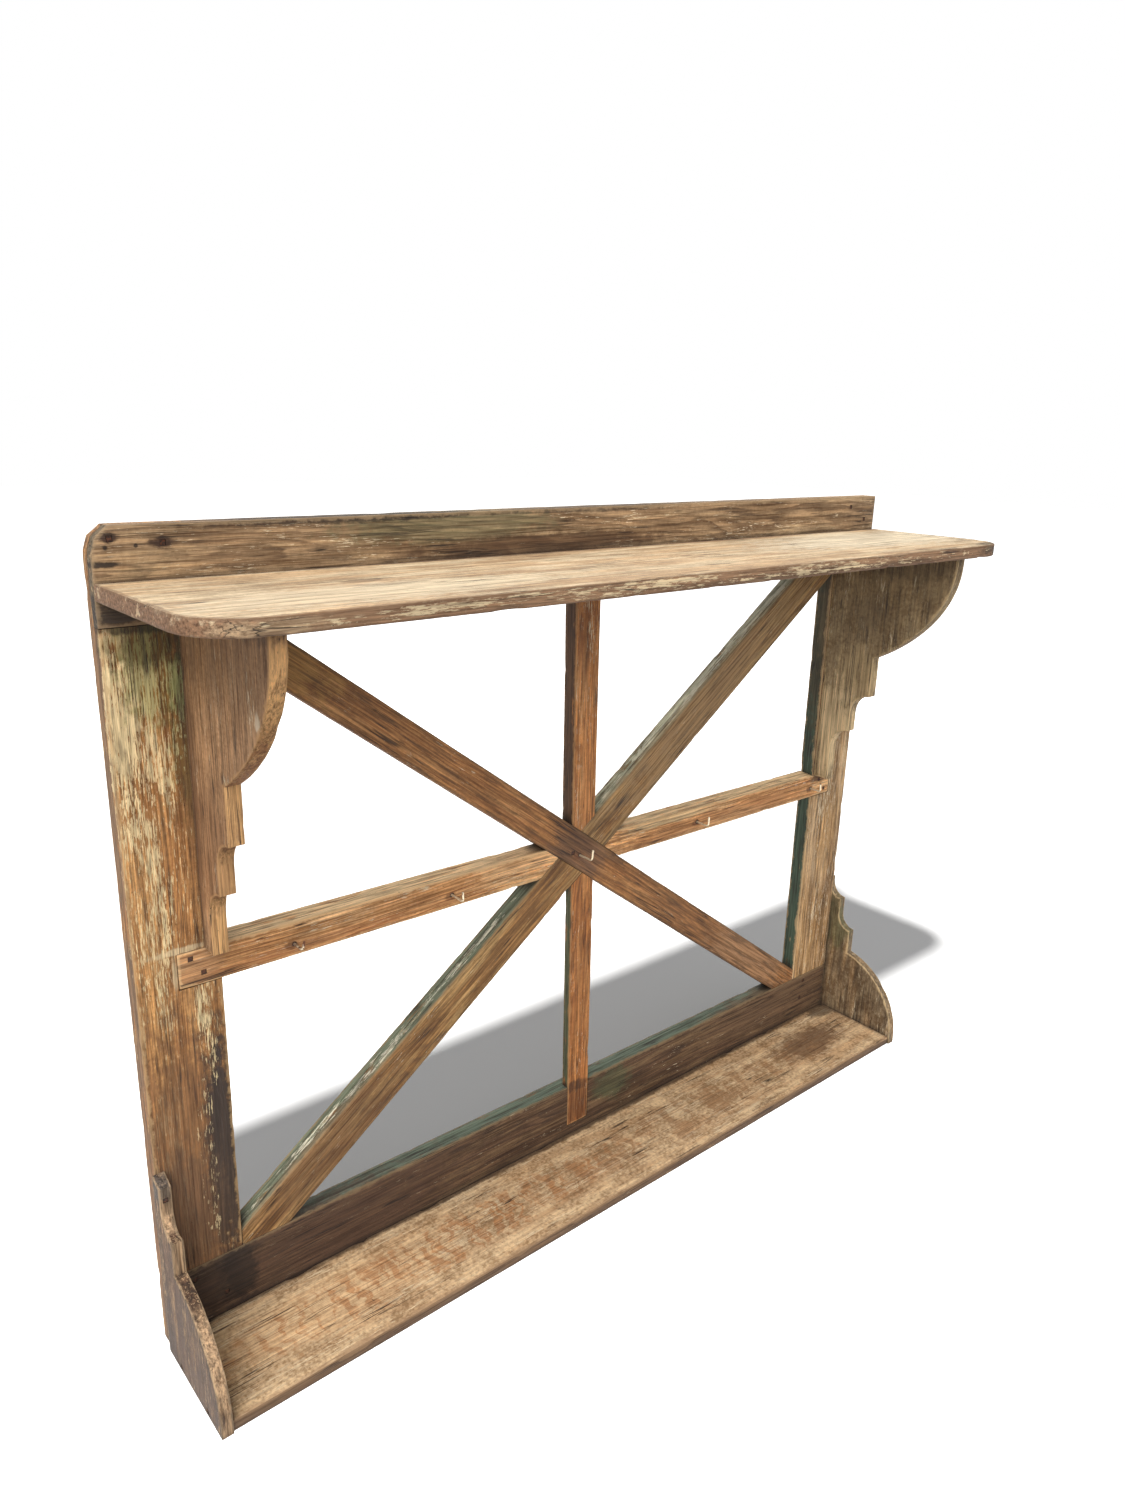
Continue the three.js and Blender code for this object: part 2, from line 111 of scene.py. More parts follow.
def mid_bottom(x):
    return MID_BOTTOM - MID_BOTTOM_FALL * x / FRAME_W


def arc(cy, cz, radius, start, end, steps=10):
    """Points round an arc in degrees, ends included."""
    turn = [math.radians(start + (end - start) * i / steps) for i in range(steps + 1)]
    return [(cy + radius * math.cos(t), cz + radius * math.sin(t)) for t in turn]


def bezier(p0, p1, p2, p3, steps=16):
    out = []
    for i in range(steps + 1):
        t = i / steps
        w = ((1 - t) ** 3, 3 * t * (1 - t) ** 2, 3 * t * t * (1 - t), t ** 3)
        out.append(tuple(sum(k * p[a] for k, p in zip(w, (p0, p1, p2, p3))) for a in (0, 1)))
    return out


HOOK_BEND = 4  # bend radius
HOOK_BITE = 13.5  # length in the wood
WIRE_R = 1.25
WIRE_SIDES, WIRE_STEP = 14, 0.8
TIP_RINGS, TIP_LENGTH = (0.55, 0.9), 0.8  # rings of the rounded tip, and its length in wire radii
HOOKS = (
    {"x": 160, "z": 418, "reach": 18, "rise": 9.0, "turn": 14, "rust": 0.55},
    {"x": 354, "z": 418.5, "reach": 23, "rise": 11.0, "turn": -4, "rust": 0.3},
    {"x": 547, "z": 419, "reach": 22.5, "rise": 13.0, "turn": 5, "rust": 0.2},
    {"x": 760, "z": 415, "reach": 21, "rise": 12.5, "turn": 2, "rust": 0.25},
    {"x": 1012, "z": 412, "reach": 18, "rise": 11.5, "turn": -3, "rust": 0.25},
)

# ---------------------------------------------------------------- worn boards

CORNER_TURN = math.radians(24)
EDGE_STEP = 7.0
MITRE_ROOM, STEP_ROOM = 1.1, 0.4  # room at a corner, in mitres of the band and in edge steps
CHIP_FROM, CHIP_DEPTH = 0.34, 5.0
FACE_DIP = 0.35
EDGE_RIM = 0.75  # the edge attribute where an arris meets its faces
ARRIS_MID = 0.3  # how far in the middle of a worn arris is, as a share of its radius


def wobble(point, scale, seed):
    """Smooth noise from -1 to 1 at a place given in millimetres."""
    return noise.noise(Vector(point) * scale + Vector((seed * 7.3, seed * 3.1, seed * 1.7)))


def turning(before, here, after):
    a = (Vector(here) - Vector(before)).normalized()
    b = (Vector(after) - Vector(here)).normalized()
    return math.atan2(a.x * b.y - a.y * b.x, a.dot(b))


def tidy_loop(points):
    """The loop counter-clockwise, without doubled points."""
    kept = [p for i, p in enumerate(points) if (Vector(p) - Vector(points[i - 1])).length > 0.05]
    area = sum(p[0] * q[1] - q[0] * p[1] for p, q in zip(kept, kept[1:] + kept[:1]))
    return kept if area > 0 else kept[::-1]


def even_points(run, start, end):
    """Points at even steps along a run, from start mm past its beginning to end mm before its end."""
    lengths = [0.0]
    for p, q in zip(run, run[1:]):
        lengths.append(lengths[-1] + (Vector(q) - Vector(p)).length)
    span = lengths[-1] - start - end
    out = []
    if span > 0:
        steps = max(1, round(span / EDGE_STEP))
        for k in range(steps + 1):
            want = start + span * k / steps
            j = max(i for i, length in enumerate(lengths[:-1]) if length <= want)
            f = (want - lengths[j]) / (lengths[j + 1] - lengths[j])
            out.append(tuple(Vector(run[j]).lerp(Vector(run[j + 1]), f)))
    return out


def resample(points, band):
    """Even steps along the loop between its corners, kept clear of each corner by the band's mitre."""
    count = len(points)
    turns = [turning(points[i - 1], points[i], points[(i + 1) % count]) for i in range(count)]
    corners = [i for i, t in enumerate(turns) if abs(t) > CORNER_TURN]
    out = []
    for first, last in zip(corners, corners[1:] + corners[:1]):
        i = (first + 1) % count
        run = [points[first], points[i]]
        while i != last:
            i = (i + 1) % count
            run.append(points[i])
        mitre = [math.tan(max(turns[k], 0.0) / 2) for k in (first, last)]
        clear = [MITRE_ROOM * band * m + STEP_ROOM * EDGE_STEP for m in mitre]
        out += [run[0]] + even_points(run, *clear)
    return out


def mitres(points):
    """For each point, the inward step that insets its loop by 1."""
    out = []
    for i, here in enumerate(points):
        a = (Vector(here) - Vector(points[i - 1])).normalized()
        b = (Vector(points[(i + 1) % len(points)]) - Vector(here)).normalized()
        na = Vector((-a.y, a.x))
        nb = Vector((-b.y, b.x))
        out.append((na + nb) / max(0.35, 1 + na.dot(nb)))
    return out


def arris_wear(place, wear, seed):
    """Rounding radius of an arris at a place: a worn average with a few deeper chips."""
    slow = 0.5 + 0.5 * wobble(place, 0.012, seed)
    quick = 0.5 + 0.5 * wobble(place, 0.09, seed + 5)
    chip = max(0.0, wobble(place, 0.045, seed + 11) - CHIP_FROM) * CHIP_DEPTH
    return wear * (0.35 + 0.7 * slow * quick + chip)


def arris_rows(loop, face, inward_way, band, side_band, radii):
    """(inset of each point, its depth, edge value) for the rings from one face's band round its arris."""
    flat = [0.0] * len(loop)
    near = [ARRIS_MID * r for r in radii]
    rows = [
        ([band] * len(loop), flat, 0.0),
        (radii, flat, EDGE_RIM),
        (near, near, 1.0),
        (flat, radii, EDGE_RIM),
        (flat, [max(side_band, r * 1.05) for r in radii], 0.0),
    ]
    return [(insets, [face + inward_way * d for d in depths], value) for insets, depths, value in rows]


def finished_piece(bm, name):
    """A new object in the scene, made from a bmesh."""
    mesh = bpy.data.meshes.new(name)
    bm.to_mesh(mesh)
    bm.free()
    piece = bpy.data.objects.new(name, mesh)
    bpy.context.scene.collection.objects.link(piece)
    return piece


def worn_board(name, outline, lay, low, high, wear=1.6, band=9.0, seed=1, back_wear=None):
    """A closed board: its outline extruded from low to high, with arrises worn by varying amounts.

    The float attribute "edge" is 1 along the arrises and 0 from the band inwards.
    """
    back_wear = wear if back_wear is None else back_wear
    loop = resample(tidy_loop(outline), band)
    inward = mitres(loop)
    count = len(loop)
    thick = high - low
    side_band = min(band, thick / 3)
    most_round = 0.45 * thick
    rows = []
    for side, face, inward_way, amount in ((0, low, 1, wear), (1, high, -1, back_wear)):
        radii = [min(most_round, arris_wear((*p, face), amount, seed + 3 * side)) for p in loop]
        rows += arris_rows(loop, face, inward_way, band, side_band, radii)[::inward_way]
    bm = bmesh.new()
    edge = bm.verts.layers.float.new("edge")
    rings = []
    for insets, depths, value in rows:
        ring = []
        for p, m, inset, depth in zip(loop, inward, insets, depths):
            dip = FACE_DIP * (0.5 + 0.5 * wobble((*p, depth), 0.02, seed + 20))
            vert = bm.verts.new(lay(p[0] + m.x * (inset + dip), p[1] + m.y * (inset + dip), depth))
            vert[edge] = value
            ring.append(vert)
        rings.append(ring)
    for upper, lower in zip(rings, rings[1:]):
        for i in range(count):
            j = (i + 1) % count
            bm.faces.new((upper[i], upper[j], lower[j], lower[i]))
    for ring in (rings[0], rings[-1]):
        sides = [bm.edges.get((ring[i], ring[(i + 1) % count])) for i in range(count)]
        bmesh.ops.triangle_fill(bm, edges=sides, use_beauty=True)
    bmesh.ops.recalc_face_normals(bm, faces=bm.faces)
    return finished_piece(bm, name + "_wood")


def lay_xz(u, v, w):
    return at(u, w, v)


def lay_yz(u, v, w):
    return at(w, u, v)


def lay_xy(u, v, w):
    return at(u, v, w)


def lay_mid(u, v, w):
    """As lay_xz, but the top surface rises towards the back, as the middle rail's does."""
    return at(u, w, v + (MID_BACK_RISE * w / FRAME_T if v > CROSS_Z else 0))


def rectangle(x0, x1, z0, z1):
    return [(x0, z0), (x1, z0), (x1, z1), (x0, z1)]


# ---------------------------------------------------------------- cutting joints


def prism(corners, y0, y1, lay=lay_xz):
    """A closed prism with an (x, z) outline, used only as a cutter."""
    bm = bmesh.new()
    front = [bm.verts.new(lay(x, z, y0)) for x, z in corners]
    back = [bm.verts.new(lay(x, z, y1)) for x, z in corners]
    bm.faces.new(front)
    bm.faces.new(back[::-1])
    for i in range(len(corners)):
        j = (i + 1) % len(corners)
        bm.faces.new((front[j], front[i], back[i], back[j]))
    bmesh.ops.recalc_face_normals(bm, faces=bm.faces)
    mesh = bpy.data.meshes.new("cutter")
    bm.to_mesh(mesh)
    bm.free()
    return mesh


def block(x, y, z):
    return prism(rectangle(x[0], x[1], z[0], z[1]), y[0], y[1])


def cut(piece, cutters, operation="DIFFERENCE"):
    """Applies one boolean for each cutter mesh."""
    for mesh in cutters:
        tool = bpy.data.objects.new("cutter", mesh)
        bpy.context.scene.collection.objects.link(tool)
        modifier = piece.modifiers.new("joint", "BOOLEAN")
        modifier.operation = operation
        modifier.solver = "EXACT"
        modifier.object = tool
        depsgraph = bpy.context.evaluated_depsgraph_get()
        result = bpy.data.meshes.new_from_object(piece.evaluated_get(depsgraph))
        piece.modifiers.clear()
        old = piece.data
        piece.data = result
        bpy.data.meshes.remove(old)
        bpy.data.objects.remove(tool)
        bpy.data.meshes.remove(mesh)


def mid_outline(grow=0.0):
    return [
        (MID_X0 - grow, mid_bottom(MID_X0) - grow),
        (MID_X1 + grow, mid_bottom(MID_X1) - grow),
        (MID_X1 + grow, mid_top(MID_X1) + grow),
        (MID_X0 - grow, mid_top(MID_X0) + grow),
    ]


def bar_outline(bar, grow=0.0):
    top = line_at(BAR_XA, bar[0], BAR_XB, bar[2])
    bottom = line_at(BAR_XA, bar[1], BAR_XB, bar[3])
    rise = BAR_SLANT * grow
    return [
        (0, bottom(0) - rise),
        (FRAME_W, bottom(FRAME_W) - rise),
        (FRAME_W, top(FRAME_W) + rise),
        (0, top(0) + rise),
    ]


def upright_outline(z0, z1, grow=0.0):
    left = line_at(SHELF_Z, UPRIGHT_X[0], BOTTOM_RAIL_H, UPRIGHT_X[1])
    width = line_at(SHELF_Z, UPRIGHT_W[0], BOTTOM_RAIL_H, UPRIGHT_W[1])
    return [
        (left(z0) - grow, z0 - grow),
        (left(z0) + width(z0) + grow, z0 - grow),
        (left(z1) + width(z1) + grow, z1 + grow),
        (left(z1) - grow, z1 + grow),
    ]


NAIL_RECESS = 1.3  # how deep a nail's head lies
NAIL_HOLE = 2.7  # half the width of the hole round it
RECESS_OVER = 3  # how far that hole's cutter stands out of the wood
NAILS = sorted(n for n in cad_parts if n.startswith("nail_"))


def nail_axis(nail):
    """The axis a nail lies along, and +1 or -1 for the way it was driven."""
    sides = limits(nail)
    lengths = [b - a for a, b in sides]
    axis = lengths.index(max(lengths))
    from_right = nail.startswith(("nail_tray_right", "nail_cheek_right"))
    backwards = "_back_" in nail or "bracket" in nail or from_right
    return axis, -1 if backwards else 1


def nail_head(nail):
    """Where the middle of a nail's head is, in lay-out millimetres."""
    axis, way = nail_axis(nail)
    middle = [(a + b) / 2 for a, b in limits(nail)]
    middle[axis] = limits(nail)[axis][0 if way > 0 else 1]
    return middle


def nail_recess(nail):
    """A cutter for the small square hole that a nail's head lies in."""
    axis, way = nail_axis(nail)
    head = nail_head(nail)
    sides = [[c - NAIL_HOLE, c + NAIL_HOLE] for c in head]
    sides[axis] = sorted((head[axis] - way * RECESS_OVER, head[axis] + way * NAIL_RECESS))
    return block(*sides)


# ---------------------------------------------------------------- the boards


def mid_cutter(depth):
    """The middle rail, grown by the gap, over a range of y."""
    return prism(mid_outline(GAP), *depth, lay_mid)


def bar_cutter(bar, y0, y1):
    return prism(bar_outline(bar, GAP), y0, y1)


def broken_corner():
    """The frame's upper left corner, where the wood is broken away."""
    across, down = BROKEN_CORNER
    return [(across, FRAME_H), (0.3 * across, FRAME_H - 0.4 * down), (0, FRAME_H - down)]


def stile(name, seed):
    x0, x1 = limits(name)[0]
    outline = rectangle(x0, x1, 0, FRAME_H)
    if name == "stile_left":
        outline[3:] = broken_corner()
    piece = worn_board(name, outline, lay_xz, 0, FRAME_T, 2.0, seed=seed)
    wide = (x0 - OVER, x1 + OVER)
    cut(piece, [
        block(wide, FRONT_LAP, (TOP_RAIL_Z - GAP, FRAME_H + OVER)),
        block(wide, FRONT_LAP, (-OVER, BOTTOM_RAIL_H + GAP)),
        mid_cutter(FRONT_LAP),
    ])
    return piece


def stile_left(name):
    return stile(name, 11)


def stile_right(name):
    return stile(name, 12)


def rail(name, z0, z1, seed, outline=None):
    piece = worn_board(name, outline or rectangle(0, FRAME_W, z0, z1), lay_xz, 0, FRAME_T, 2.0, seed=seed)
    tall = (z0 - OVER, z1 + OVER)
    cut(piece, [
        block((-OVER, STILE_L + GAP), BEHIND_LAP, tall),
        block((OPEN_X1 - GAP, FRAME_W + OVER), BEHIND_LAP, tall),
    ])
    return piece


def top_rail(name):
    outline = [(0, TOP_RAIL_Z), (FRAME_W, TOP_RAIL_Z), (FRAME_W, FRAME_H)] + broken_corner()
    piece = rail(name, TOP_RAIL_Z, FRAME_H, 21, outline)
    cut(piece, [prism(upright_outline(TOP_RAIL_Z - 5, SHELF_Z, GAP), *FRONT_LAP)])
    return piece


def bottom_rail(name):
    piece = rail(name, 0, BOTTOM_RAIL_H, 22)
    foot_z, upright_t = limits("upright_lower")[2][0], limits("upright_lower")[1][1]
    cut(piece, [prism(upright_outline(foot_z, BOTTOM_RAIL_H + 5, GAP), -OVER, upright_t + GAP)])
    return piece


def mid_rail(name):
    piece = worn_board(name, mid_outline(), lay_mid, 0, FRAME_T, 1.6, band=7, seed=23)
    tall = (0, FRAME_H)
    cut(piece, [
        block((0, STILE_L + GAP), BEHIND_LAP, tall),
        block((OPEN_X1 - GAP, FRAME_W), BEHIND_LAP, tall),
        bar_cutter(FALLING, -OVER, LAYER_2 + GAP / 2),
        bar_cutter(RISING, -OVER, LAYER_2 + GAP / 2),
    ])
    return piece


def bar(name, edges, others, seed):
    """A slanting bar, kept inside the opening and notched for what crosses it."""
    piece = worn_board(name, bar_outline(edges), lay_xz, 0, FRAME_T, 1.5, band=8, seed=seed)
    opening = block((STILE_L + GAP, OPEN_X1 - GAP), THROUGH, (BOTTOM_RAIL_H + GAP, TOP_RAIL_Z - GAP))
    cut(piece, [opening], "INTERSECT")
    cut(piece, others + [mid_cutter((LAYER_2 - GAP / 2, FRAME_T + OVER))])
    return piece


def diagonal_falling(name):
    return bar(name, FALLING, [bar_cutter(RISING, LAYER_1 - GAP / 2, FRAME_T + OVER)], 24)


def diagonal_rising(name):
    return bar(name, RISING, [bar_cutter(FALLING, -OVER, LAYER_1 + GAP / 2)], 25)


def crossing():
    """Cutters for everything that crosses in the middle of the lattice."""
    return [bar_cutter(FALLING, *THROUGH), bar_cutter(RISING, *THROUGH), mid_cutter(THROUGH)]


def upright_upper(name):
    thick = limits(name)[1][1]
    piece = worn_board(name, upright_outline(CROSS_Z, SHELF_Z), lay_xz, 0, thick, 1.4, band=6, seed=26)
    tongue = block((0, FRAME_W), (LAP - GAP / 2, FRAME_T), (TOP_RAIL_Z - GAP, FRAME_H))
    cut(piece, [tongue] + crossing())
    return piece


def upright_lower(name):
    low, high = limits(name)[2][0], CROSS_Z
    piece = worn_board(name, upright_outline(low, high), lay_xz, 0, limits(name)[1][1], 1.4, band=6, seed=27)
    cut(piece, crossing())
    return piece


def upper_shelf(name):
    (x0, x1), (y0, y1), (z0, z1) = limits(name)
    r = SHELF_CORNER_R
    outline = [(x0, y1)] + arc(x0 + r, y0 + r, r, 180, 270) + arc(x1 - r, y0 + r, r, 270, 360) + [(x1, y1)]
    return worn_board(name, outline, lay_xy, z0, z1, 2.2, seed=28, back_wear=2.6)


def tray_shelf(name):
    (x0, x1), (y0, y1), (z0, z1) = limits(name)
    return worn_board(name, rectangle(x0, x1, y0, y1), lay_xy, z0, z1, 0.8, seed=29, back_wear=3.4)


def bracket_outline(scale):
    outer, middle, inner = [edge * scale for edge in BRACKET_EDGES]
    reach = -(limits("bracket_right")[1][0]) * scale
    foot_z = limits("bracket_left" if scale < 1 else "bracket_right")[2][0]
    upper_cove, lower_cove = BRACKET_COVE_TOPS
    upper_r, lower_r = outer - middle, middle - inner
    out, upper_z, lower_z = BRACKET_BELLY
    foot = (-outer, BRACKET_LOBE_FOOT_Z)
    lobe = bezier((-reach, BRACKET_NOSE_Z), (-reach, upper_z), (-out * scale, lower_z), foot)
    return (
        [(0, SHELF_Z), (-reach, SHELF_Z)]
        + lobe
        + arc(-outer, upper_cove - upper_r, upper_r, 90, 0, 6)
        + arc(-middle, lower_cove - lower_r, lower_r, 90, 0, 6)
        + [(-inner, foot_z), (0, foot_z)]
    )


def bracket_left(name):
    x0, x1 = limits(name)[0]
    return worn_board(name, bracket_outline(BRACKET_L_SCALE), lay_yz, x0, x1, 1.5, band=7, seed=30)


def bracket_right(name):
    x0, x1 = limits(name)[0]
    return worn_board(name, bracket_outline(1.0), lay_yz, x0, x1, 1.5, band=7, seed=31)


def cheek(name, seed):
    (x0, x1), (y0, y1), (_, z1) = limits(name)
    outer, middle, inner = CHEEK_EDGES
    lower_cove, upper_cove = CHEEK_COVE_FEET
    lower_r, upper_r = outer - middle, middle - inner
    lobe_y = CHEEK_LOBE_R + y0
    lobe_end = math.degrees(math.acos((lobe_y + outer) / CHEEK_LOBE_R))
    upper = arc(-middle, upper_cove + upper_r, upper_r, -90, 0, 12)
    top = [p for p in upper if p[0] < y1]
    if y1 > -inner:
        top.append((-inner, z1))
    outline = (
        [(y1, 0), (y1, z1)]
        + top[::-1]
        + arc(-outer, lower_cove + lower_r, lower_r, 0, -90, 8)
        + arc(lobe_y, CHEEK_LOBE_Z, CHEEK_LOBE_R, 180 - lobe_end, 180, 24)
        + [(y0, 0)]
    )
    return worn_board(name, outline, lay_yz, x0, x1, 1.4, band=6, seed=seed)


def cheek_left(name):
    return cheek(name, 32)


def cheek_right(name):
    return cheek(name, 33)


# Which board a nail's head lies in, by the start of the nail's name.
HELD_BY = {
    "nail_top": "top_rail",
    "nail_shelf_back": "top_rail",
    "nail_mid": "mid_rail",
    "nail_bottom": "bottom_rail",
    "nail_tray_back": "bottom_rail",
    "nail_crossing": "diagonal_falling",
    "nail_bracket_left": "stile_left",
    "nail_bracket_right": "stile_right",
    "nail_cheek_edge": "cheek_left",
    "nail_tray_left": "cheek_left",
    "nail_tray_right": "cheek_right",
    "nail_cheek_right": "cheek_right",
}


def nails_in(board):
    starts = tuple(start for start, held_by in HELD_BY.items() if held_by == board)
    return [nail for nail in NAILS if starts and nail.startswith(starts)]


# ---------------------------------------------------------------- shader nodes


def linear(tone):
    """An sRGB tone of 0 to 255 as a linear colour."""
    parts = [c / 255 for c in tone]
    return (*[c / 12.92 if c <= 0.04045 else ((c + 0.055) / 1.055) ** 2.4 for c in parts], 1.0)


class Graph:
    """One material's nodes. Most methods add a node or a few, and return the output socket."""

    def __init__(self, name):
        self.material = bpy.data.materials.new(name)
        self.material.use_nodes = True
        self.tree = self.material.node_tree
        self.shader = self.tree.nodes["Principled BSDF"]

    def put(self, socket, value):
        if isinstance(value, bpy.types.NodeSocket):
            self.tree.links.new(value, socket)
        else:
            socket.default_value = value

    def new(self, kind, **settings):
        node = self.tree.nodes.new("ShaderNode" + kind)
        for key, value in settings.items():
            setattr(node, key, value)
        return node

    def math(self, operation, a, b=0.0, clamp=False):
        node = self.new("Math", operation=operation, use_clamp=clamp)
        self.put(node.inputs[0], a)
        self.put(node.inputs[1], b)
        return node.outputs[0]

    def add(self, a, b):
        return self.math("ADD", a, b)

    def less(self, a, b):
        return self.math("SUBTRACT", a, b)

    def times(self, a, b):
        return self.math("MULTIPLY", a, b)

    def step(self, value, low, high, most=1.0):
        """0 below low, most above high, and a smooth change between; high may be the smaller."""
        node = self.new("MapRange", interpolation_type="SMOOTHSTEP")
        self.put(node.inputs["Value"], value)
        node.inputs["From Min"].default_value = low
        node.inputs["From Max"].default_value = high
        node.inputs["To Max"].default_value = most
        return node.outputs["Result"]

    def vector(self, operation, a, b):
        node = self.new("VectorMath", operation=operation)
        self.put(node.inputs[0], a)
        self.put(node.inputs[1], b)
        return node.outputs["Value" if operation == "DOT_PRODUCT" else "Vector"]

    def combine(self, x, y, z):
        node = self.new("CombineXYZ")
        for socket, value in zip(node.inputs, (x, y, z)):
            self.put(socket, value)
        return node.outputs[0]

    def length(self, vector):
        return self.math("SQRT", self.vector("DOT_PRODUCT", vector, vector))

    def millimetres(self, origin=(0, 0, 0)):
        """The shaded point's place in millimetres from an origin in metres."""
        coords = self.new("TexCoord").outputs["Object"]
        return self.vector("MULTIPLY", self.vector("SUBTRACT", coords, origin), (1 / MM, 1 / MM, 1 / MM))

    def noise(self, vector, size, detail=3.0, roughness=0.55):
        """Noise about 0.5 whose features are about size (x, y, z) millimetres."""
        node = self.new("TexNoise")
        self.put(node.inputs["Vector"], self.vector("DIVIDE", vector, size))
        node.inputs["Scale"].default_value = 1.0
        node.inputs["Detail"].default_value = detail
        node.inputs["Roughness"].default_value = roughness
        return node.outputs["Fac"]

    def swing(self, most, vector, size, detail=3.0, roughness=0.55):
        """Noise that swings about 0, by up to about half of most either way."""
        return self.times(self.less(self.noise(vector, size, detail, roughness), 0.5), most)

    def above(self, value, cover, soft):
        """A mask of where a noise value is high enough that about that share of the surface is covered."""
        edge = 0.5 + (0.5 - cover) * 0.5
        return self.step(value, edge - soft, edge + soft)

    def covered(self, vector, size, cover, detail=4.0, soft=0.05):
        """A mask of irregular patches of about that size that cover about that share of the surface."""
        return self.above(self.noise(vector, size, detail, 0.62), cover, soft)

    def mix(self, factor, a, b, blend="MIX"):
        node = self.new("Mix", data_type="RGBA", blend_type=blend)
        self.put(node.inputs["Factor"], factor)
        self.put(node.inputs[6], a)
        self.put(node.inputs[7], b)
        return node.outputs[2]

    def ramp(self, value, *stops):
        """A ramp through stops of (position, brightness) or (position, red, green, blue)."""
        node = self.new("ValToRGB")
        self.put(node.inputs[0], value)
        elements = node.color_ramp.elements
        while len(elements) < len(stops):
            elements.new(1.0)
        for element, (position, *level) in zip(elements, stops):
            element.position = position
            element.color = (*level, 1) if len(level) == 3 else (level[0], level[0], level[0], 1)
        return node.outputs[0]

    def bump(self, height, distance, strength=1.0):
        """Small relief on the shader; distance is in millimetres."""
        node = self.new("Bump")
        node.inputs["Strength"].default_value = strength
        node.inputs["Distance"].default_value = distance * MM
        self.put(node.inputs["Height"], height)
        self.put(self.shader.inputs["Normal"], node.outputs[0])


# ---------------------------------------------------------------- wood

# The directions along, across and through the grain.
ALONG_X = ((1, 0, 0), (0, 0, 1), (0, 1, 0))
ALONG_Z = ((0, 0, 1), (1, 0, 0), (0, 1, 0))
FLAT_X = ((1, 0, 0), (0, 1, 0), (0, 0, 1))
SIDE_Z = ((0, 0, 1), (0, 1, 0), (1, 0, 0))
LEFT, RIGHT, FRONT, BACK, UP, DOWN = (-1, 0, 0), (1, 0, 0), (0, -1, 0), (0, 1, 0), (0, 0, 1), (0, 0, -1)

NOOK_DIRT_AND_SHADE = 16  # how far the dirt and painted shade in a corner reach, mm
BOARD_OFFSET = (613, 131, 57)  # how far each next board number moves the noise, mm
CRACK_TONE = (30, 22, 17)


def slanting(edges):
    """Grain axes of a bar that runs along its own slope."""
    slope = math.atan2(edges[2] - edges[0], BAR_XB - BAR_XA)
    return ((math.cos(slope), 0, math.sin(slope)), (-math.sin(slope), 0, math.cos(slope)), (0, 1, 0))


WOOD = {
    "late": (92, 60, 38),  # latewood tone
    "pith": (40, -45),  # the pith line's place across and through the board, mm
    "drift": 0.05,  # how far it sinks per mm along the board
    "ring": 4.5,  # mm from ring to ring
    "ridge": 0.55,  # how strongly the rings show
    "pale": (200, 172, 136),  # bleached patches
    "pale_cover": 0.42,
    "fleck": (214, 198, 168),  # scraps of old cream paint
    "fleck_cover": 0.34,
    # the grime tone is also the tone of the painted shade in corners
    "grime": (46, 36, 28),
    "grime_cover": 0.36,
    "edge": (182, 154, 118),  # bare wood along worn arrises
    "edge_cover": 0.6,
    "faces": (),  # (direction, tone, cover[, centre, radii]): on faces that look that way
    "stains": (),  # (centre, radii, tone, strength): stains, with some painted shade and one painted highlight
    "scrapes": (),  # (centre, radii, size of one mark, tone, strength)
    "dent": 0.35,  # depth of the faces' unevenness, mm
    "contrast": 0.95,  # how strongly the fibres vary in tone
    "mottle": 0.35,  # how strongly round blotches vary in tone
    "fleck_zones": (),  # (centre, radii, cover): where more paint has stayed on
    "tints": (),  # (centre, radii, tone, strength): dirt, algae and painted shade over everything else
}


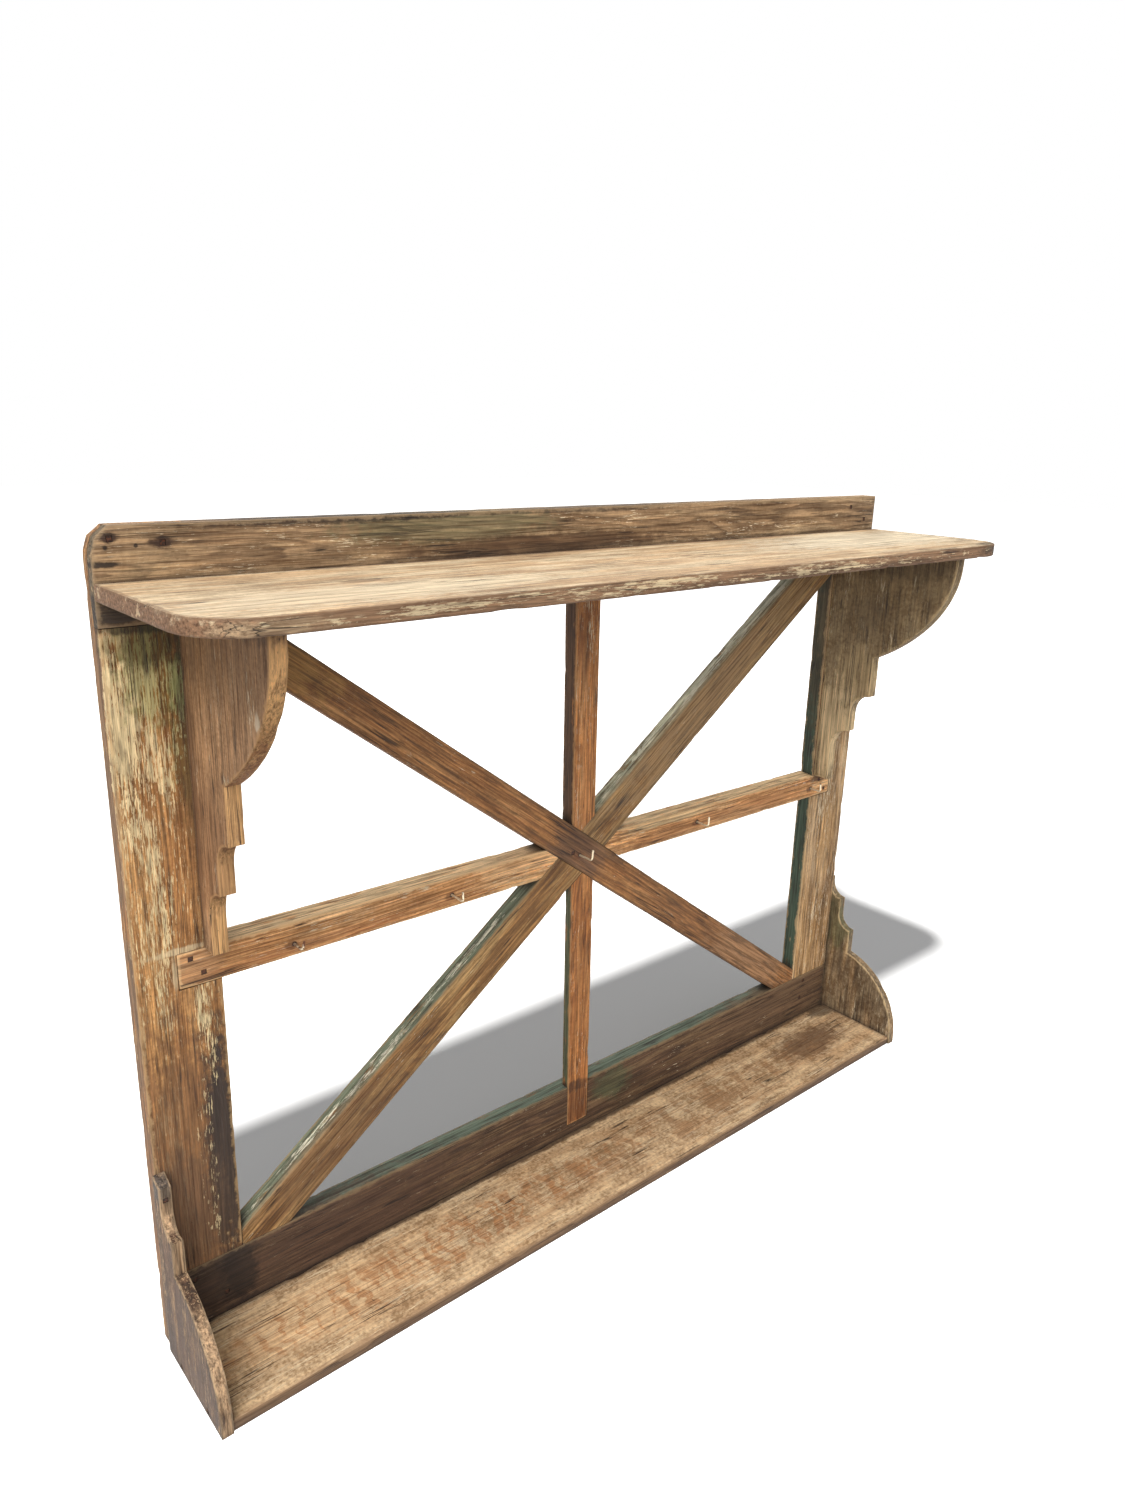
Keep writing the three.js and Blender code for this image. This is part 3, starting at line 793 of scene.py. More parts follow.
class Timber(Graph):
    """One board of old softwood. Each layer method adds to self.colour."""

    def __init__(self, name, axes, number, look):
        super().__init__(name)
        self.look = look
        self.place = self.millimetres(tuple(CORNER))
        self.grain = self.combine(*[self.vector("DOT_PRODUCT", self.place, axis) for axis in axes])
        self.seed = self.vector("ADD", self.grain, [number * offset for offset in BOARD_OFFSET])
        self.fibre = self.noise(self.seed, size=(60, 1, 1), detail=4, roughness=0.7)
        self.thread = self.noise(self.seed, size=(85, 2.7, 2.7), detail=4, roughness=0.66)
        strands = self.add(self.times(self.fibre, 0.35), self.times(self.thread, 0.65))
        self.fine = self.ramp(strands, (0.40, 0.38, 0.30, 0.23), (0.5, 1.0), (0.60, 1.55, 1.5, 1.43))
        broken = self.step(self.thread, 0.3, 0.6, most=1.3)
        self.latewood = self.math("MULTIPLY", self.ring_field(), broken, clamp=True)

    def ring_field(self):
        """How much latewood there is at a point, from rings round a pith line that wanders."""
        pith_across, pith_through = self.look["pith"]
        u, v, w = (self.vector("DOT_PRODUCT", self.grain, axis) for axis in FLAT_X)
        across = self.add(self.less(v, pith_across), self.swing(60, self.seed, (420, 120, 120), 1))
        sunk = self.add(self.times(u, self.look["drift"]), self.swing(34, self.seed, (260, 70, 70), 2))
        through = self.add(self.less(w, pith_through), sunk)
        radius = self.math("SQRT", self.add(self.times(across, across), self.times(through, through)))
        rippled = self.add(radius, self.swing(5, self.seed, (90, 9, 9), 3))
        rings = self.math("DIVIDE", rippled, self.look["ring"])
        part = self.math("FRACT", rings)
        profile = self.ramp(part, (0.0, 0.0), (0.4, 0.12), (0.75, 0.8), (0.9, 1.0), (1.0, 0.0))
        strength = self.noise(self.combine(rings, self.times(u, 0.004), 0.0), (1.6, 1, 1), 1)
        return self.times(profile, self.add(0.35, strength))

    def spot(self, centre, radii, strength=1.0):
        """A mask of a ragged spot."""
        gap = self.vector("DIVIDE", self.vector("SUBTRACT", self.place, centre), radii)
        ragged = self.swing(1.6, self.seed, (14, 9, 9), 5, 0.65)
        return self.times(self.step(self.add(self.length(gap), ragged), 1.15, 0.55), strength)

    def grained(self, tone, share):
        """A tone that the fibres show through."""
        return self.mix(share, linear(tone), self.fine, "MULTIPLY")

    def lay(self, mask, colour, blend="MIX"):
        self.colour = self.mix(mask, self.colour, colour, blend)

    def bare_wood(self, tone):
        look = self.look
        self.colour = self.mix(self.times(self.latewood, look["ridge"]), linear(tone), linear(look["late"]))
        pale = self.covered(self.seed, (130, 16, 16), look["pale_cover"], 6, 0.1)
        self.lay(self.times(pale, 0.8), linear(look["pale"]))
        streak = self.noise(self.seed, (210, 7, 7), 3, 0.55)
        drift = self.noise(self.seed, (230, 48, 48), 3)
        slow = self.times(self.add(streak, drift), 0.5)
        shade = self.ramp(slow, (0.37, 0.55, 0.49, 0.43), (0.5, 1.0), (0.63, 1.3, 1.28, 1.22))
        self.lay(look["contrast"], shade, "MULTIPLY")
        self.lay(look["contrast"], self.fine, "MULTIPLY")
        large = self.noise(self.place, (30, 26, 26), 5, 0.6)
        small = self.noise(self.place, (4.5, 4.5, 4.5), 3, 0.6)
        mean = self.times(self.add(large, small), 0.5)
        blotch = self.ramp(mean, (0.42, 0.66, 0.60, 0.53), (0.5, 1.0), (0.58, 1.28, 1.28, 1.27))
        self.lay(look["mottle"], blotch, "MULTIPLY")

    def flecks_of_paint(self):
        """Small scraps of old paint, in clumps, and paint on the faces that look a given way."""
        look = self.look
        clumps = self.swing(0.6, self.seed, (90, 15, 15), 4, 0.6)
        self.scraps = self.add(self.noise(self.seed, (14, 1.5, 1.5), 8, 0.68), clumps)
        self.flecks = self.above(self.scraps, look["fleck_cover"], 0.03)
        self.fleck_tone = self.grained(look["fleck"], 0.6)
        self.lay(self.times(self.flecks, 0.9), self.fleck_tone)
        normal = self.new("NewGeometry").outputs["Normal"]
        for direction, tone, cover, *region in look["faces"]:
            facing = self.step(self.vector("DOT_PRODUCT", normal, direction), 0.45, 0.7)
            patch = self.times(facing, self.covered(self.seed, (46, 9, 9), cover, 6, 0.06))
            if region:
                patch = self.times(patch, self.spot(*region))
            self.lay(patch, self.grained(tone, 0.9))

    def marks(self):
        """Stains with painted shade and a painted highlight among them, scrapes, zones where more paint has
        stayed on, and tints over it all, painted shade among them.
        """
        look = self.look
        for centre, radii, tone, strength in look["stains"]:
            self.lay(self.spot(centre, radii, strength), self.grained(tone, 0.8))
        for centre, radii, size, tone, strength in look["scrapes"]:
            sway = self.times(self.noise(self.place, (30, 22, 22), 3), 42)
            bent = self.vector("ADD", self.place, self.combine(sway, 0.0, 0.0))
            bars = self.times(self.covered(bent, size, 0.46, 6, 0.05), self.spot(centre, radii))
            self.lay(self.times(bars, strength), self.grained(tone, 0.8))
        for centre, radii, cover in look["fleck_zones"]:
            thinned = self.times(self.less(self.spot(centre, radii), 1.0), 0.4)
            zone = self.above(self.add(self.scraps, thinned), cover, 0.03)
            self.lay(self.times(zone, 0.9), self.fleck_tone)
            self.flecks = self.math("MAXIMUM", self.flecks, zone)
        for centre, radii, tone, strength in look["tints"]:
            self.lay(self.spot(centre, radii, strength), linear(tone), "MULTIPLY")

    def wear_dirt_and_painted_shade(self):
        """Bare worn arrises, streaks of grime, dirt and painted shade in the corners, cracks and specks."""
        look = self.look
        edge = self.new("Attribute", attribute_name="edge").outputs["Fac"]
        rubbed = self.add(edge, self.times(self.noise(self.place, (11, 11, 11), 5, 0.65), 1.2))
        self.lay(self.times(self.step(rubbed, 1.05, 1.35), look["edge_cover"]), linear(look["edge"]))
        grime = self.covered(self.seed, (48, 5, 5), look["grime_cover"], 6, 0.1)
        self.lay(self.times(grime, 0.6), linear(look["grime"]))
        # ambient occlusion darkens corners and creases in the grime tone: dirt, and painted shade where parts
        # meet and under the shelf
        nook_dirt_and_shade = self.new("AmbientOcclusion", samples=6)
        nook_dirt_and_shade.inputs["Distance"].default_value = NOOK_DIRT_AND_SHADE * MM
        self.lay(self.step(nook_dirt_and_shade.outputs["AO"], 0.78, 0.36, most=0.8), linear(look["grime"]))
        crack_line = self.math("ABSOLUTE", self.less(self.noise(self.seed, (260, 7, 7), 2), 0.5))
        cracked = self.covered(self.seed, (90, 30, 30), 0.36, 2)
        crack = self.times(self.step(crack_line, 0.022, 0.006), cracked)
        specks = self.step(self.noise(self.seed, (4.5, 1.7, 1.7), 2), 0.7, 0.76, most=0.8)
        self.dark = self.math("MAXIMUM", crack, specks)
        self.lay(self.times(self.dark, 0.85), linear(CRACK_TONE))

    def surface(self):
        """Colour, roughness and relief on the shader."""
        look = self.look
        self.put(self.shader.inputs["Base Color"], self.colour)
        rough = self.add(0.62, self.times(self.fibre, 0.3))
        self.put(self.shader.inputs["Roughness"], self.less(rough, self.times(self.latewood, 0.12)))
        self.shader.inputs["Specular IOR Level"].default_value = 0.35
        height = self.add(self.times(self.latewood, 0.3 * look["ridge"]), self.times(self.fibre, 0.35))
        dents = self.times(self.noise(self.place, (26, 19, 19), 2), 2 * look["dent"])
        height = self.less(self.add(height, dents), self.times(self.dark, 0.5))
        height = self.add(height, self.times(self.flecks, 0.12))
        self.bump(height, distance=1, strength=0.8)


def wood(name, axes, tone, number, **changes):
    """Old softwood with scraps of paint; changes are to the usual look in WOOD."""
    timber = Timber(name, axes, number, {**WOOD, **changes})
    timber.bare_wood(tone)
    timber.flecks_of_paint()
    timber.marks()
    timber.wear_dirt_and_painted_shade()
    timber.surface()
    return timber.material


GREEN = (70, 84, 66)
OLD_BACK = (BACK, (80, 86, 68), 0.88)
RUST = (50, 33, 24)
SOOT_AND_SHADE = (32, 24, 20)
# dark tone of soot-like marks, and of painted shade under the shelf and in corners
CREAM = (214, 194, 156)
RUSTY = (96, 58, 34)


def hook_stains():
    """Rust that has run into the wood round each hook's root."""
    rust = tuple(((hook["x"] - 3, 0, hook["z"] - 1), (8, 12, 5), RUSTY, 0.7) for hook in HOOKS)
    return rust + tuple(((hook["x"], 0, hook["z"]), (3.4, 12, 3.4), SOOT_AND_SHADE, 0.9) for hook in HOOKS)


def upper_shelf_wood():
    return wood(
        "shelf_pine", FLAT_X, (184, 156, 122), 1, pith=(-100, -55), ring=5.0, ridge=0.34, late=(142, 106, 74),
        pale=(198, 180, 150), pale_cover=0.5, fleck_cover=0.12, grime_cover=0.14, edge=(112, 86, 64),
        contrast=0.5, mottle=0.45, fleck=(206, 186, 150),
        fleck_zones=(((480, -212, 790), (640, 12, 9), 0.42),),
        faces=(
            (FRONT, (132, 102, 76), 0.75),
            (LEFT, (122, 92, 68), 0.7),
            (RIGHT, (122, 92, 68), 0.7),
            (DOWN, (120, 94, 68), 0.7),
        ),
        stains=(
            # painted highlight: a pale patch on the left of the shelf's top
            ((170, -150, 797), (200, 50, 6), (200, 184, 156), 0.7),
            ((960, -90, 797), (240, 80, 6), (202, 190, 166), 0.75),
            ((60, -205, 788), (60, 20, 8), (176, 152, 120), 0.6),
            ((1086, -206, 792), (70, 24, 10), SOOT_AND_SHADE, 0.75),
            ((700, -212, 786), (300, 8, 5), (78, 56, 40), 0.6),
            ((200, -90, 797), (26, 10, 6), (98, 74, 50), 0.6),
            # painted shade: a dark band along the back of the top, where the shelf meets the top rail
            ((600, -4, 797), (500, 10, 6), (104, 74, 48), 0.6),
        ))


def top_rail_wood():
    return wood(
        "top_rail_pine", ALONG_X, (147, 122, 93), 2, pith=(800, -38), drift=0.035, ring=4.2, ridge=0.75,
        late=(74, 52, 34), pale=(156, 134, 104), pale_cover=0.36, fleck_cover=0.2,
        grime_cover=0.26, edge=(150, 126, 96), faces=((LEFT, (96, 84, 66), 0.7), OLD_BACK),
        stains=(
            ((16, 0, 833), (9, 20, 5), RUST, 0.95),
            ((60, 0, 828), (12, 20, 6), RUST, 0.95),
            ((5, 0, 812), (22, 20, 3), SOOT_AND_SHADE, 0.9),
            ((12, 0, 826), (2.4, 9, 2.4), SOOT_AND_SHADE, 0.9),
            ((37, 0, 826.5), (2, 9, 2), SOOT_AND_SHADE, 0.9),
            ((360, 0, 832), (150, 30, 22), (96, 98, 72), 0.5),
            ((250, 0, 843), (170, 30, 6), SOOT_AND_SHADE, 0.8),
            ((560, 0, 843), (150, 30, 5), SOOT_AND_SHADE, 0.7),
            ((480, 0, 806), (190, 30, 14), (80, 58, 40), 0.75),
            # painted shadow: near-black on the top rail's lower left, under the shelf
            ((50, 0, 774), (100, 30, 18), SOOT_AND_SHADE, 0.85),
        ))


def stile_left_wood():
    return wood(
        "stile_left_pine", ALONG_Z, (168, 121, 74), 3, pith=(-30, -30), ring=3.6, ridge=0.6,
        late=(92, 58, 32), pale=(182, 138, 88), fleck_cover=0.3, fleck=(224, 202, 156),
        grime_cover=0.32, edge=(190, 156, 112), mottle=0.5,
        faces=((RIGHT, GREEN, 0.5), OLD_BACK, (LEFT, (128, 98, 70), 0.6)),
        stains=(
            ((40, 0, 190), (70, 30, 210), (120, 84, 54), 0.85),
            ((72, 0, 215), (22, 30, 165), (42, 33, 28), 0.96),
            ((30, 0, 150), (50, 30, 90), (84, 64, 48), 0.6),
            ((77, 0, 620), (7, 30, 130), (116, 70, 40), 0.8),
            ((42, 0, 447), (30, 12, 4), CREAM, 0.7),
            ((37, 0, 424), (3, 12, 22), CREAM, 0.7),
        ),
        fleck_zones=(
            ((30, 0, 690), (60, 12, 130), 0.55),
            ((18, 0, 520), (34, 12, 150), 0.45),
            ((60, 0, 350), (26, 12, 70), 0.34),
            ((54, 0, 210), (12, 12, 130), 0.41),
        ),
        tints=(
            ((44, 0, 715), (34, 20, 56), (190, 200, 178), 0.9),
            ((66, 0, 660), (16, 20, 90), (206, 220, 204), 0.9),
            # painted shadow: these last two tints darken the stile's top under the shelf
            ((38, 0, 744), (44, 20, 26), (160, 160, 140), 0.9),
            ((44, 0, 758), (70, 20, 7), (110, 104, 92), 0.9),
        ))


def stile_right_wood():
    return wood(
        "stile_right_pine", ALONG_Z, (172, 138, 96), 4, pith=(1070, -30), ring=3.8, ridge=0.5,
        late=(110, 78, 48), fleck_cover=0.3, grime_cover=0.28, edge=(194, 162, 120),
        faces=(
            (LEFT, (64, 78, 64), 0.86),
            (LEFT, (68, 64, 48), 0.8, (1010, 10, 640), (60, 30, 150)),
            OLD_BACK,
            (RIGHT, (110, 92, 70), 0.6),
        ),
        stains=(((1035, 0, 690), (40, 20, 120), (116, 100, 74), 0.5),))


def bottom_rail_wood():
    return wood(
        "bottom_rail_pine", ALONG_X, (86, 65, 48), 5, pith=(60, -34), drift=-0.03, ring=4.4, ridge=0.8,
        late=(42, 28, 20), pale=(110, 88, 64), pale_cover=0.4, fleck_cover=0.12,
        grime_cover=0.26, edge=(126, 104, 76), faces=((UP, (80, 90, 76), 0.8), OLD_BACK),
        stains=(
            ((150, 0, 45), (230, 30, 60), (74, 54, 42), 0.75),
            # painted shade: the next two darken the rail's left end, in the corner by the stile and the left
            # cheek
            ((30, 0, 60), (60, 30, 50), SOOT_AND_SHADE, 0.6),
            ((78, 0, 70), (24, 30, 64), SOOT_AND_SHADE, 0.8),
            ((620, 0, 60), (40, 30, 26), (68, 76, 54), 0.6),
            ((960, 0, 66), (170, 20, 46), (98, 76, 56), 0.7),
        ))


def mid_rail_wood():
    return wood(
        "mid_rail_pine", ALONG_X, (214, 161, 107), 6, pith=(340, -30), drift=0.02, ring=3.8, ridge=0.9,
        late=(116, 66, 34), pale=(226, 186, 138), pale_cover=0.4, fleck_cover=0.2,
        grime_cover=0.18, edge=(220, 182, 134), faces=((UP, (210, 180, 138), 0.7), OLD_BACK),
        stains=(
            ((820, 0, 412), (250, 8, 16), (156, 108, 68), 0.7),
            ((180, 0, 410), (150, 8, 10), (150, 96, 58), 0.5),
            ((55, 0, 425), (34, 30, 24), (164, 124, 88), 0.6),
            ((1030, 0, 426), (30, 20, 7), SOOT_AND_SHADE, 0.6),
            ((700, 0, 430), (90, 30, 6), (206, 190, 150), 0.5),
            ((470, 0, 432), (90, 30, 14), (236, 196, 148), 0.5),
            *hook_stains(),
        ))


def diagonal_falling_wood():
    return wood(
        "falling_pine", slanting(FALLING), (152, 107, 66), 7, pith=(600, -40), ring=4.2, ridge=0.75,
        late=(84, 48, 25), pale=(172, 128, 84), pale_cover=0.34, fleck_cover=0.12,
        grime_cover=0.34, edge=(104, 76, 50), faces=((UP, (120, 108, 80), 0.6), OLD_BACK),
        stains=(
            ((550, 0, 424), (60, 30, 50), (104, 78, 60), 0.7),
            ((780, 0, 262), (170, 30, 140), (134, 94, 60), 0.55),
            ((160, 0, 740), (110, 30, 80), (170, 128, 74), 0.75),
            ((900, 0, 166), (130, 30, 110), (154, 118, 86), 0.75),
            *hook_stains(),
        ))


def diagonal_rising_wood():
    return wood(
        "rising_pine", slanting(RISING), (146, 108, 66), 8, pith=(-20, -40), ring=3.9, ridge=0.7,
        late=(82, 54, 32), pale=(178, 146, 98), pale_cover=0.4, fleck_cover=0.14,
        grime_cover=0.3, edge=(150, 120, 84),
        fleck=(206, 200, 178),
        fleck_zones=(
            ((260, 11, 260), (330, 8, 330), 0.44),
            ((800, 11, 620), (330, 8, 260), 0.5),
        ),
        faces=(
            (UP, (104, 110, 90), 0.74),
            (LEFT, (104, 110, 90), 0.74),
            (UP, (176, 174, 148), 0.66, (800, 10, 620), (330, 60, 260)),
            (LEFT, (176, 174, 148), 0.66, (800, 10, 620), (330, 60, 260)),
            OLD_BACK,
        ),
        stains=(
            ((200, 0, 150), (120, 12, 110), (104, 76, 52), 0.6),
            ((800, 0, 620), (330, 12, 260), (158, 130, 94), 0.6),
        ))


def upright_upper_wood():
    return wood(
        "upright_pine", ALONG_Z, (182, 124, 74), 9, pale=(196, 146, 98), pith=(520, -25), ring=3.5,
        ridge=0.75,
        late=(108, 64, 34), fleck_cover=0.22, grime_cover=0.28, edge=(184, 138, 92),
        faces=((LEFT, (90, 64, 44), 0.8), OLD_BACK),
        # painted shade: the upright's top, under the shelf
        stains=(((548, 0, 772), (30, 20, 12), SOOT_AND_SHADE, 0.6),))


def upright_lower_wood():
    return wood(
        "upright_foot_pine", ALONG_Z, (162, 106, 60), 10, pale=(176, 124, 76), pith=(560, -25), ring=3.5,
        ridge=0.75,
        late=(96, 56, 29), fleck_cover=0.2, grime_cover=0.3, edge=(174, 130, 86),
        faces=((LEFT, (84, 86, 62), 0.7), OLD_BACK),
        stains=(((556, 0, 55), (40, 30, 36), (92, 58, 35), 0.7), ((556, 0, 84), (26, 30, 10), SOOT_AND_SHADE, 0.6)))


def tray_shelf_wood():
    return wood(
        "tray_pine", FLAT_X, (164, 134, 100), 11, pith=(-60, -36), ring=5.0, ridge=0.16, late=(116, 86, 58),
        pale=(182, 156, 122), pale_cover=0.5, fleck_cover=0.3, fleck=(196, 174, 142),
        grime_cover=0.12, edge=(140, 112, 84), contrast=0.3, mottle=1.0,
        faces=((FRONT, (104, 80, 58), 0.85), (DOWN, (104, 84, 62), 0.6)),
        stains=(
            ((985, -62, 12), (84, 34, 8), (92, 64, 42), 0.8),
            ((1085, -12, 12), (40, 24, 8), SOOT_AND_SHADE, 0.7),
            # painted shade: a dark band along the back edge, where the tray meets the bottom rail
            ((600, -2, 12), (600, 7, 8), (70, 50, 36), 0.75),
            ((160, -60, 12), (170, 40, 8), (196, 162, 122), 0.45),
        ),
        scrapes=(
            ((300, -66, 12), (330, 38, 10), (11, 60, 60), (150, 102, 62), 0.7),
            ((700, -70, 12), (300, 44, 10), (16, 60, 60), (136, 102, 70), 0.7),
        ))


def bracket_left_wood():
    return wood(
        "bracket_left_pine", SIDE_Z, (150, 116, 84), 12, pith=(-60, 20), ring=4.4, ridge=0.35,
        late=(110, 78, 52), pale=(156, 126, 96), pale_cover=0.3, fleck_cover=0.16,
        grime_cover=0.22, edge=(182, 140, 94), contrast=0.85, mottle=0.6,
        faces=((FRONT, (196, 152, 102), 0.75), (DOWN, (140, 98, 62), 0.6)),
        stains=(
            # painted shade: a dark band along the back, where the bracket meets the stile
            ((67, -5, 600), (30, 12, 170), (100, 70, 46), 0.6),
            ((67, -36, 560), (30, 50, 80), (122, 88, 60), 0.5),
            # painted shade: the bracket's top, under the shelf
            ((67, -90, 778), (40, 120, 16), (74, 54, 38), 0.8),
            ((67, -152, 702), (6, 5, 9), (206, 190, 164), 0.7),
        ))


def bracket_right_wood():
    return wood(
        "bracket_right_pine", SIDE_Z, (140, 119, 88), 13, pith=(-60, 980), ring=4.4, ridge=0.3,
        late=(104, 82, 58), pale=(156, 136, 104), fleck_cover=0.22, grime_cover=0.26,
        edge=(216, 186, 140), contrast=0.55, mottle=0.9,
        stains=(
            # painted shade: the bracket's top, under the shelf
            ((1016, -100, 768), (30, 130, 30), (96, 80, 58), 0.7),
            ((1016, -70, 690), (30, 34, 26), (96, 80, 60), 0.4),
            ((1016, -60, 600), (30, 40, 50), (196, 170, 128), 0.6),
            ((1016, -20, 510), (30, 50, 90), (214, 188, 146), 0.92),
        ))


def cheek_left_wood():
    return wood(
        "cheek_left_pine", SIDE_Z, (72, 52, 39), 14, pith=(-60, 25), ring=4.2, ridge=0.4,
        late=(46, 34, 26), pale=(108, 84, 63), fleck_cover=0.34, fleck=(176, 146, 112),
        grime_cover=0.42, mottle=0.9, edge=(176, 150, 118),
        faces=((FRONT, (168, 139, 108), 0.75), (RIGHT, (92, 70, 50), 0.6)),
        stains=(((0, -8, 205), (20, 20, 16), (74, 72, 70), 0.7),))


def cheek_right_wood():
    return wood(
        "cheek_right_pine", SIDE_Z, (128, 110, 86), 15, pith=(-60, 1080), ring=4.2, ridge=0.4,
        late=(74, 56, 38), pale=(150, 124, 92), fleck_cover=0.18, grime_cover=0.38,
        edge=(206, 178, 134), contrast=0.5, mottle=1.0,
        stains=(((1100, -10, 170), (30, 40, 50), (92, 96, 66), 0.6),))


# ---------------------------------------------------------------- metal


def rusty_iron():
    g = Graph("rusty_iron")
    scale = g.noise(g.millimetres(), (1.6, 1.6, 1.6), 5, 0.7)
    colour = g.mix(g.step(scale, 0.38, 0.62), linear((38, 30, 27)), linear((92, 54, 34)))
    g.put(g.shader.inputs["Base Color"], colour)
    g.shader.inputs["Metallic"].default_value = 0.35
    g.put(g.shader.inputs["Roughness"], g.add(0.55, g.times(scale, 0.4)))
    g.bump(scale, distance=0.3)
    return g.material


def old_wire(name, rust_cover):
    """Plated steel wire, worn bright in places and rusted in others."""
    g = Graph(name)
    place = g.millimetres()
    mottle = g.noise(place, (2.2, 2.2, 2.2), 4, 0.65)
    bright = g.mix(mottle, linear((240, 230, 206)), linear((214, 192, 154)))
    rust = g.covered(place, (5, 5, 5), rust_cover, 4, 0.06)
    g.put(g.shader.inputs["Base Color"], g.mix(rust, bright, linear((98, 58, 34))))
    g.put(g.shader.inputs["Metallic"], g.less(0.5, g.times(rust, 0.4)))
    g.put(g.shader.inputs["Roughness"], g.add(0.28, g.times(g.add(mottle, rust), 0.3)))
    g.bump(g.times(mottle, g.add(0.4, rust)), distance=0.2)
    return g.material


def hook_route(hook):
    """Points (y, z) along a hook's wire, from inside the wood to its tip, about its root."""
    reach, rise = hook["reach"], hook["rise"]
    quarter = [math.radians(90 * i / 8) for i in range(9)]
    bend = [(-reach + HOOK_BEND * (1 - math.sin(t)), HOOK_BEND * (1 - math.cos(t))) for t in quarter]
    shank = [(HOOK_BITE, 0), (2, 0), (-0.5 * reach, 0)]
    return shank + bend + [(-reach, 0.6 * (rise + HOOK_BEND)), (-reach, rise)]


def wire_ring(bm, root, middle, side, ahead, radius):
    """A ring of vertices round a wire, about a middle in millimetres from the hook's root."""
    up = side.cross(ahead).normalized()
    turns = [2 * math.pi * k / WIRE_SIDES for k in range(WIRE_SIDES)]
    spokes = [radius * (math.cos(t) * side + math.sin(t) * up) for t in turns]
    return [bm.verts.new(root + MM * (middle + spoke)) for spoke in spokes]


def hook_wire(name, hook):
    """A round wire swept along the hook's route, a little uneven, with a rounded tip."""
    turn = math.radians(hook["turn"])
    route = [Vector((z * math.sin(turn), y, z * math.cos(turn))) for y, z in hook_route(hook)]
    fine = [route[0]]
    for a, b in zip(route, route[1:]):
        steps = max(1, round((b - a).length / WIRE_STEP))
        fine += [a.lerp(b, (i + 1) / steps) for i in range(steps)]
    root = at(hook["x"], 0, hook["z"])
    side = Vector((math.cos(turn), 0, -math.sin(turn)))
    bm = bmesh.new()
    rings = []
    for i, here in enumerate(fine):
        ahead = (fine[min(i + 1, len(fine) - 1)] - fine[max(i - 1, 0)]).normalized()
        radius = WIRE_R * (1 + 0.05 * wobble(here * 0.6, 1.0, hook["x"]))
        rings.append(wire_ring(bm, root, here, side, ahead, radius))
    ahead = (fine[-1] - fine[-2]).normalized()
    for out in TIP_RINGS:
        middle = fine[-1] + ahead * WIRE_R * out * TIP_LENGTH
        rings.append(wire_ring(bm, root, middle, side, ahead, WIRE_R * math.sqrt(1 - out * out)))
    for first, second in zip(rings, rings[1:]):
        for k in range(WIRE_SIDES):
            after = (k + 1) % WIRE_SIDES
            bm.faces.new((first[k], first[after], second[after], second[k]))
    bm.faces.new(rings[0][::-1])
    bm.faces.new(rings[-1])
    bmesh.ops.recalc_face_normals(bm, faces=bm.faces)
    piece = finished_piece(bm, name + "_wire")
    piece.data.shade_smooth()
    return piece


# ---------------------------------------------------------------- camera, lights and floor

CAMERA_AT = (-273.3, -919.7, 933.7)
CAMERA_YAW, CAMERA_PITCH, CAMERA_ROLL = 40.554, 17.064, 1.5235  # degrees
LENS, SENSOR_W = 25.555, 36
CLIP = (0.05, 60)
LIGHT_TONE = (1.0, 0.99, 0.975)
LAMP_AT = (-342, -892, 3467)
LAMP_POWER, LAMP_RADIUS = 1255, 0.11
# Each sun: name, way its light travels, strength, angle in degrees.
SUNS = (
    ("soft_key", (0.55, 0.27, -1.0), 3.6, 45),
    ("front_fill", (0.4, 0.85, -0.3), 2.1, 60),
    ("back_fill", (-0.4, -0.85, -0.25), 1.3, 60),
)
DOME = {"From Min": -0.6, "From Max": 0.8, "To Min": 0.16, "To Max": 0.44}  # strength by height
FLOOR_REACH, FLOOR_DROP = 14, 0.0004
FLOOR_TONE = (0.94, 0.94, 0.94, 1)
FLOOR_GLOW = 0.047
WHITE_FROM, WHITE_TO = 1.3, 2.6  # where the floor turns pure white, metres from the middle
WHITE = (1, 1, 1, 1)


def camera_axes(yaw, pitch, roll):
    """Right, up and backward axes of a camera turned from +Y towards +X, tipped down and rolled."""
    forward = Vector((math.sin(yaw) * math.cos(pitch), math.cos(yaw) * math.cos(pitch), -math.sin(pitch)))
    right = Vector((math.cos(yaw), -math.sin(yaw), 0))
    up = right.cross(forward)
    tilted_right = math.cos(roll) * right + math.sin(roll) * up
    tilted_up = -math.sin(roll) * right + math.cos(roll) * up
    return tilted_right, tilted_up, -forward


def make_camera():
    data = bpy.data.cameras.new("camera")
    data.lens = LENS
    data.sensor_width = SENSOR_W
    data.clip_start, data.clip_end = CLIP
    camera = bpy.data.objects.new("camera", data)
    axes = camera_axes(math.radians(CAMERA_YAW), math.radians(CAMERA_PITCH), math.radians(CAMERA_ROLL))
    camera.matrix_world = Matrix.Translation(at(*CAMERA_AT)) @ Matrix(axes).transposed().to_4x4()
    bpy.context.scene.collection.objects.link(camera)
    bpy.context.scene.camera = camera


def add_light(data, name, matrix, energy, reaches):
    data.energy = energy
    data.color = LIGHT_TONE
    light = bpy.data.objects.new(name, data)
    light.matrix_world = matrix
    light.light_linking.receiver_collection = reaches
    bpy.context.scene.collection.objects.link(light)


def soft_sun(name, travel, energy, angle, reaches):
    data = bpy.data.lights.new(name, "SUN")
    data.angle = math.radians(angle)
    turn = Vector(travel).to_track_quat("-Z", "Y").to_matrix().to_4x4()
    add_light(data, name, turn, energy, reaches)


def lamp(name, place, energy, radius, reaches):
    data = bpy.data.lights.new(name, "POINT")
    data.shadow_soft_size = radius
    add_light(data, name, Matrix.Translation(place), energy, reaches)


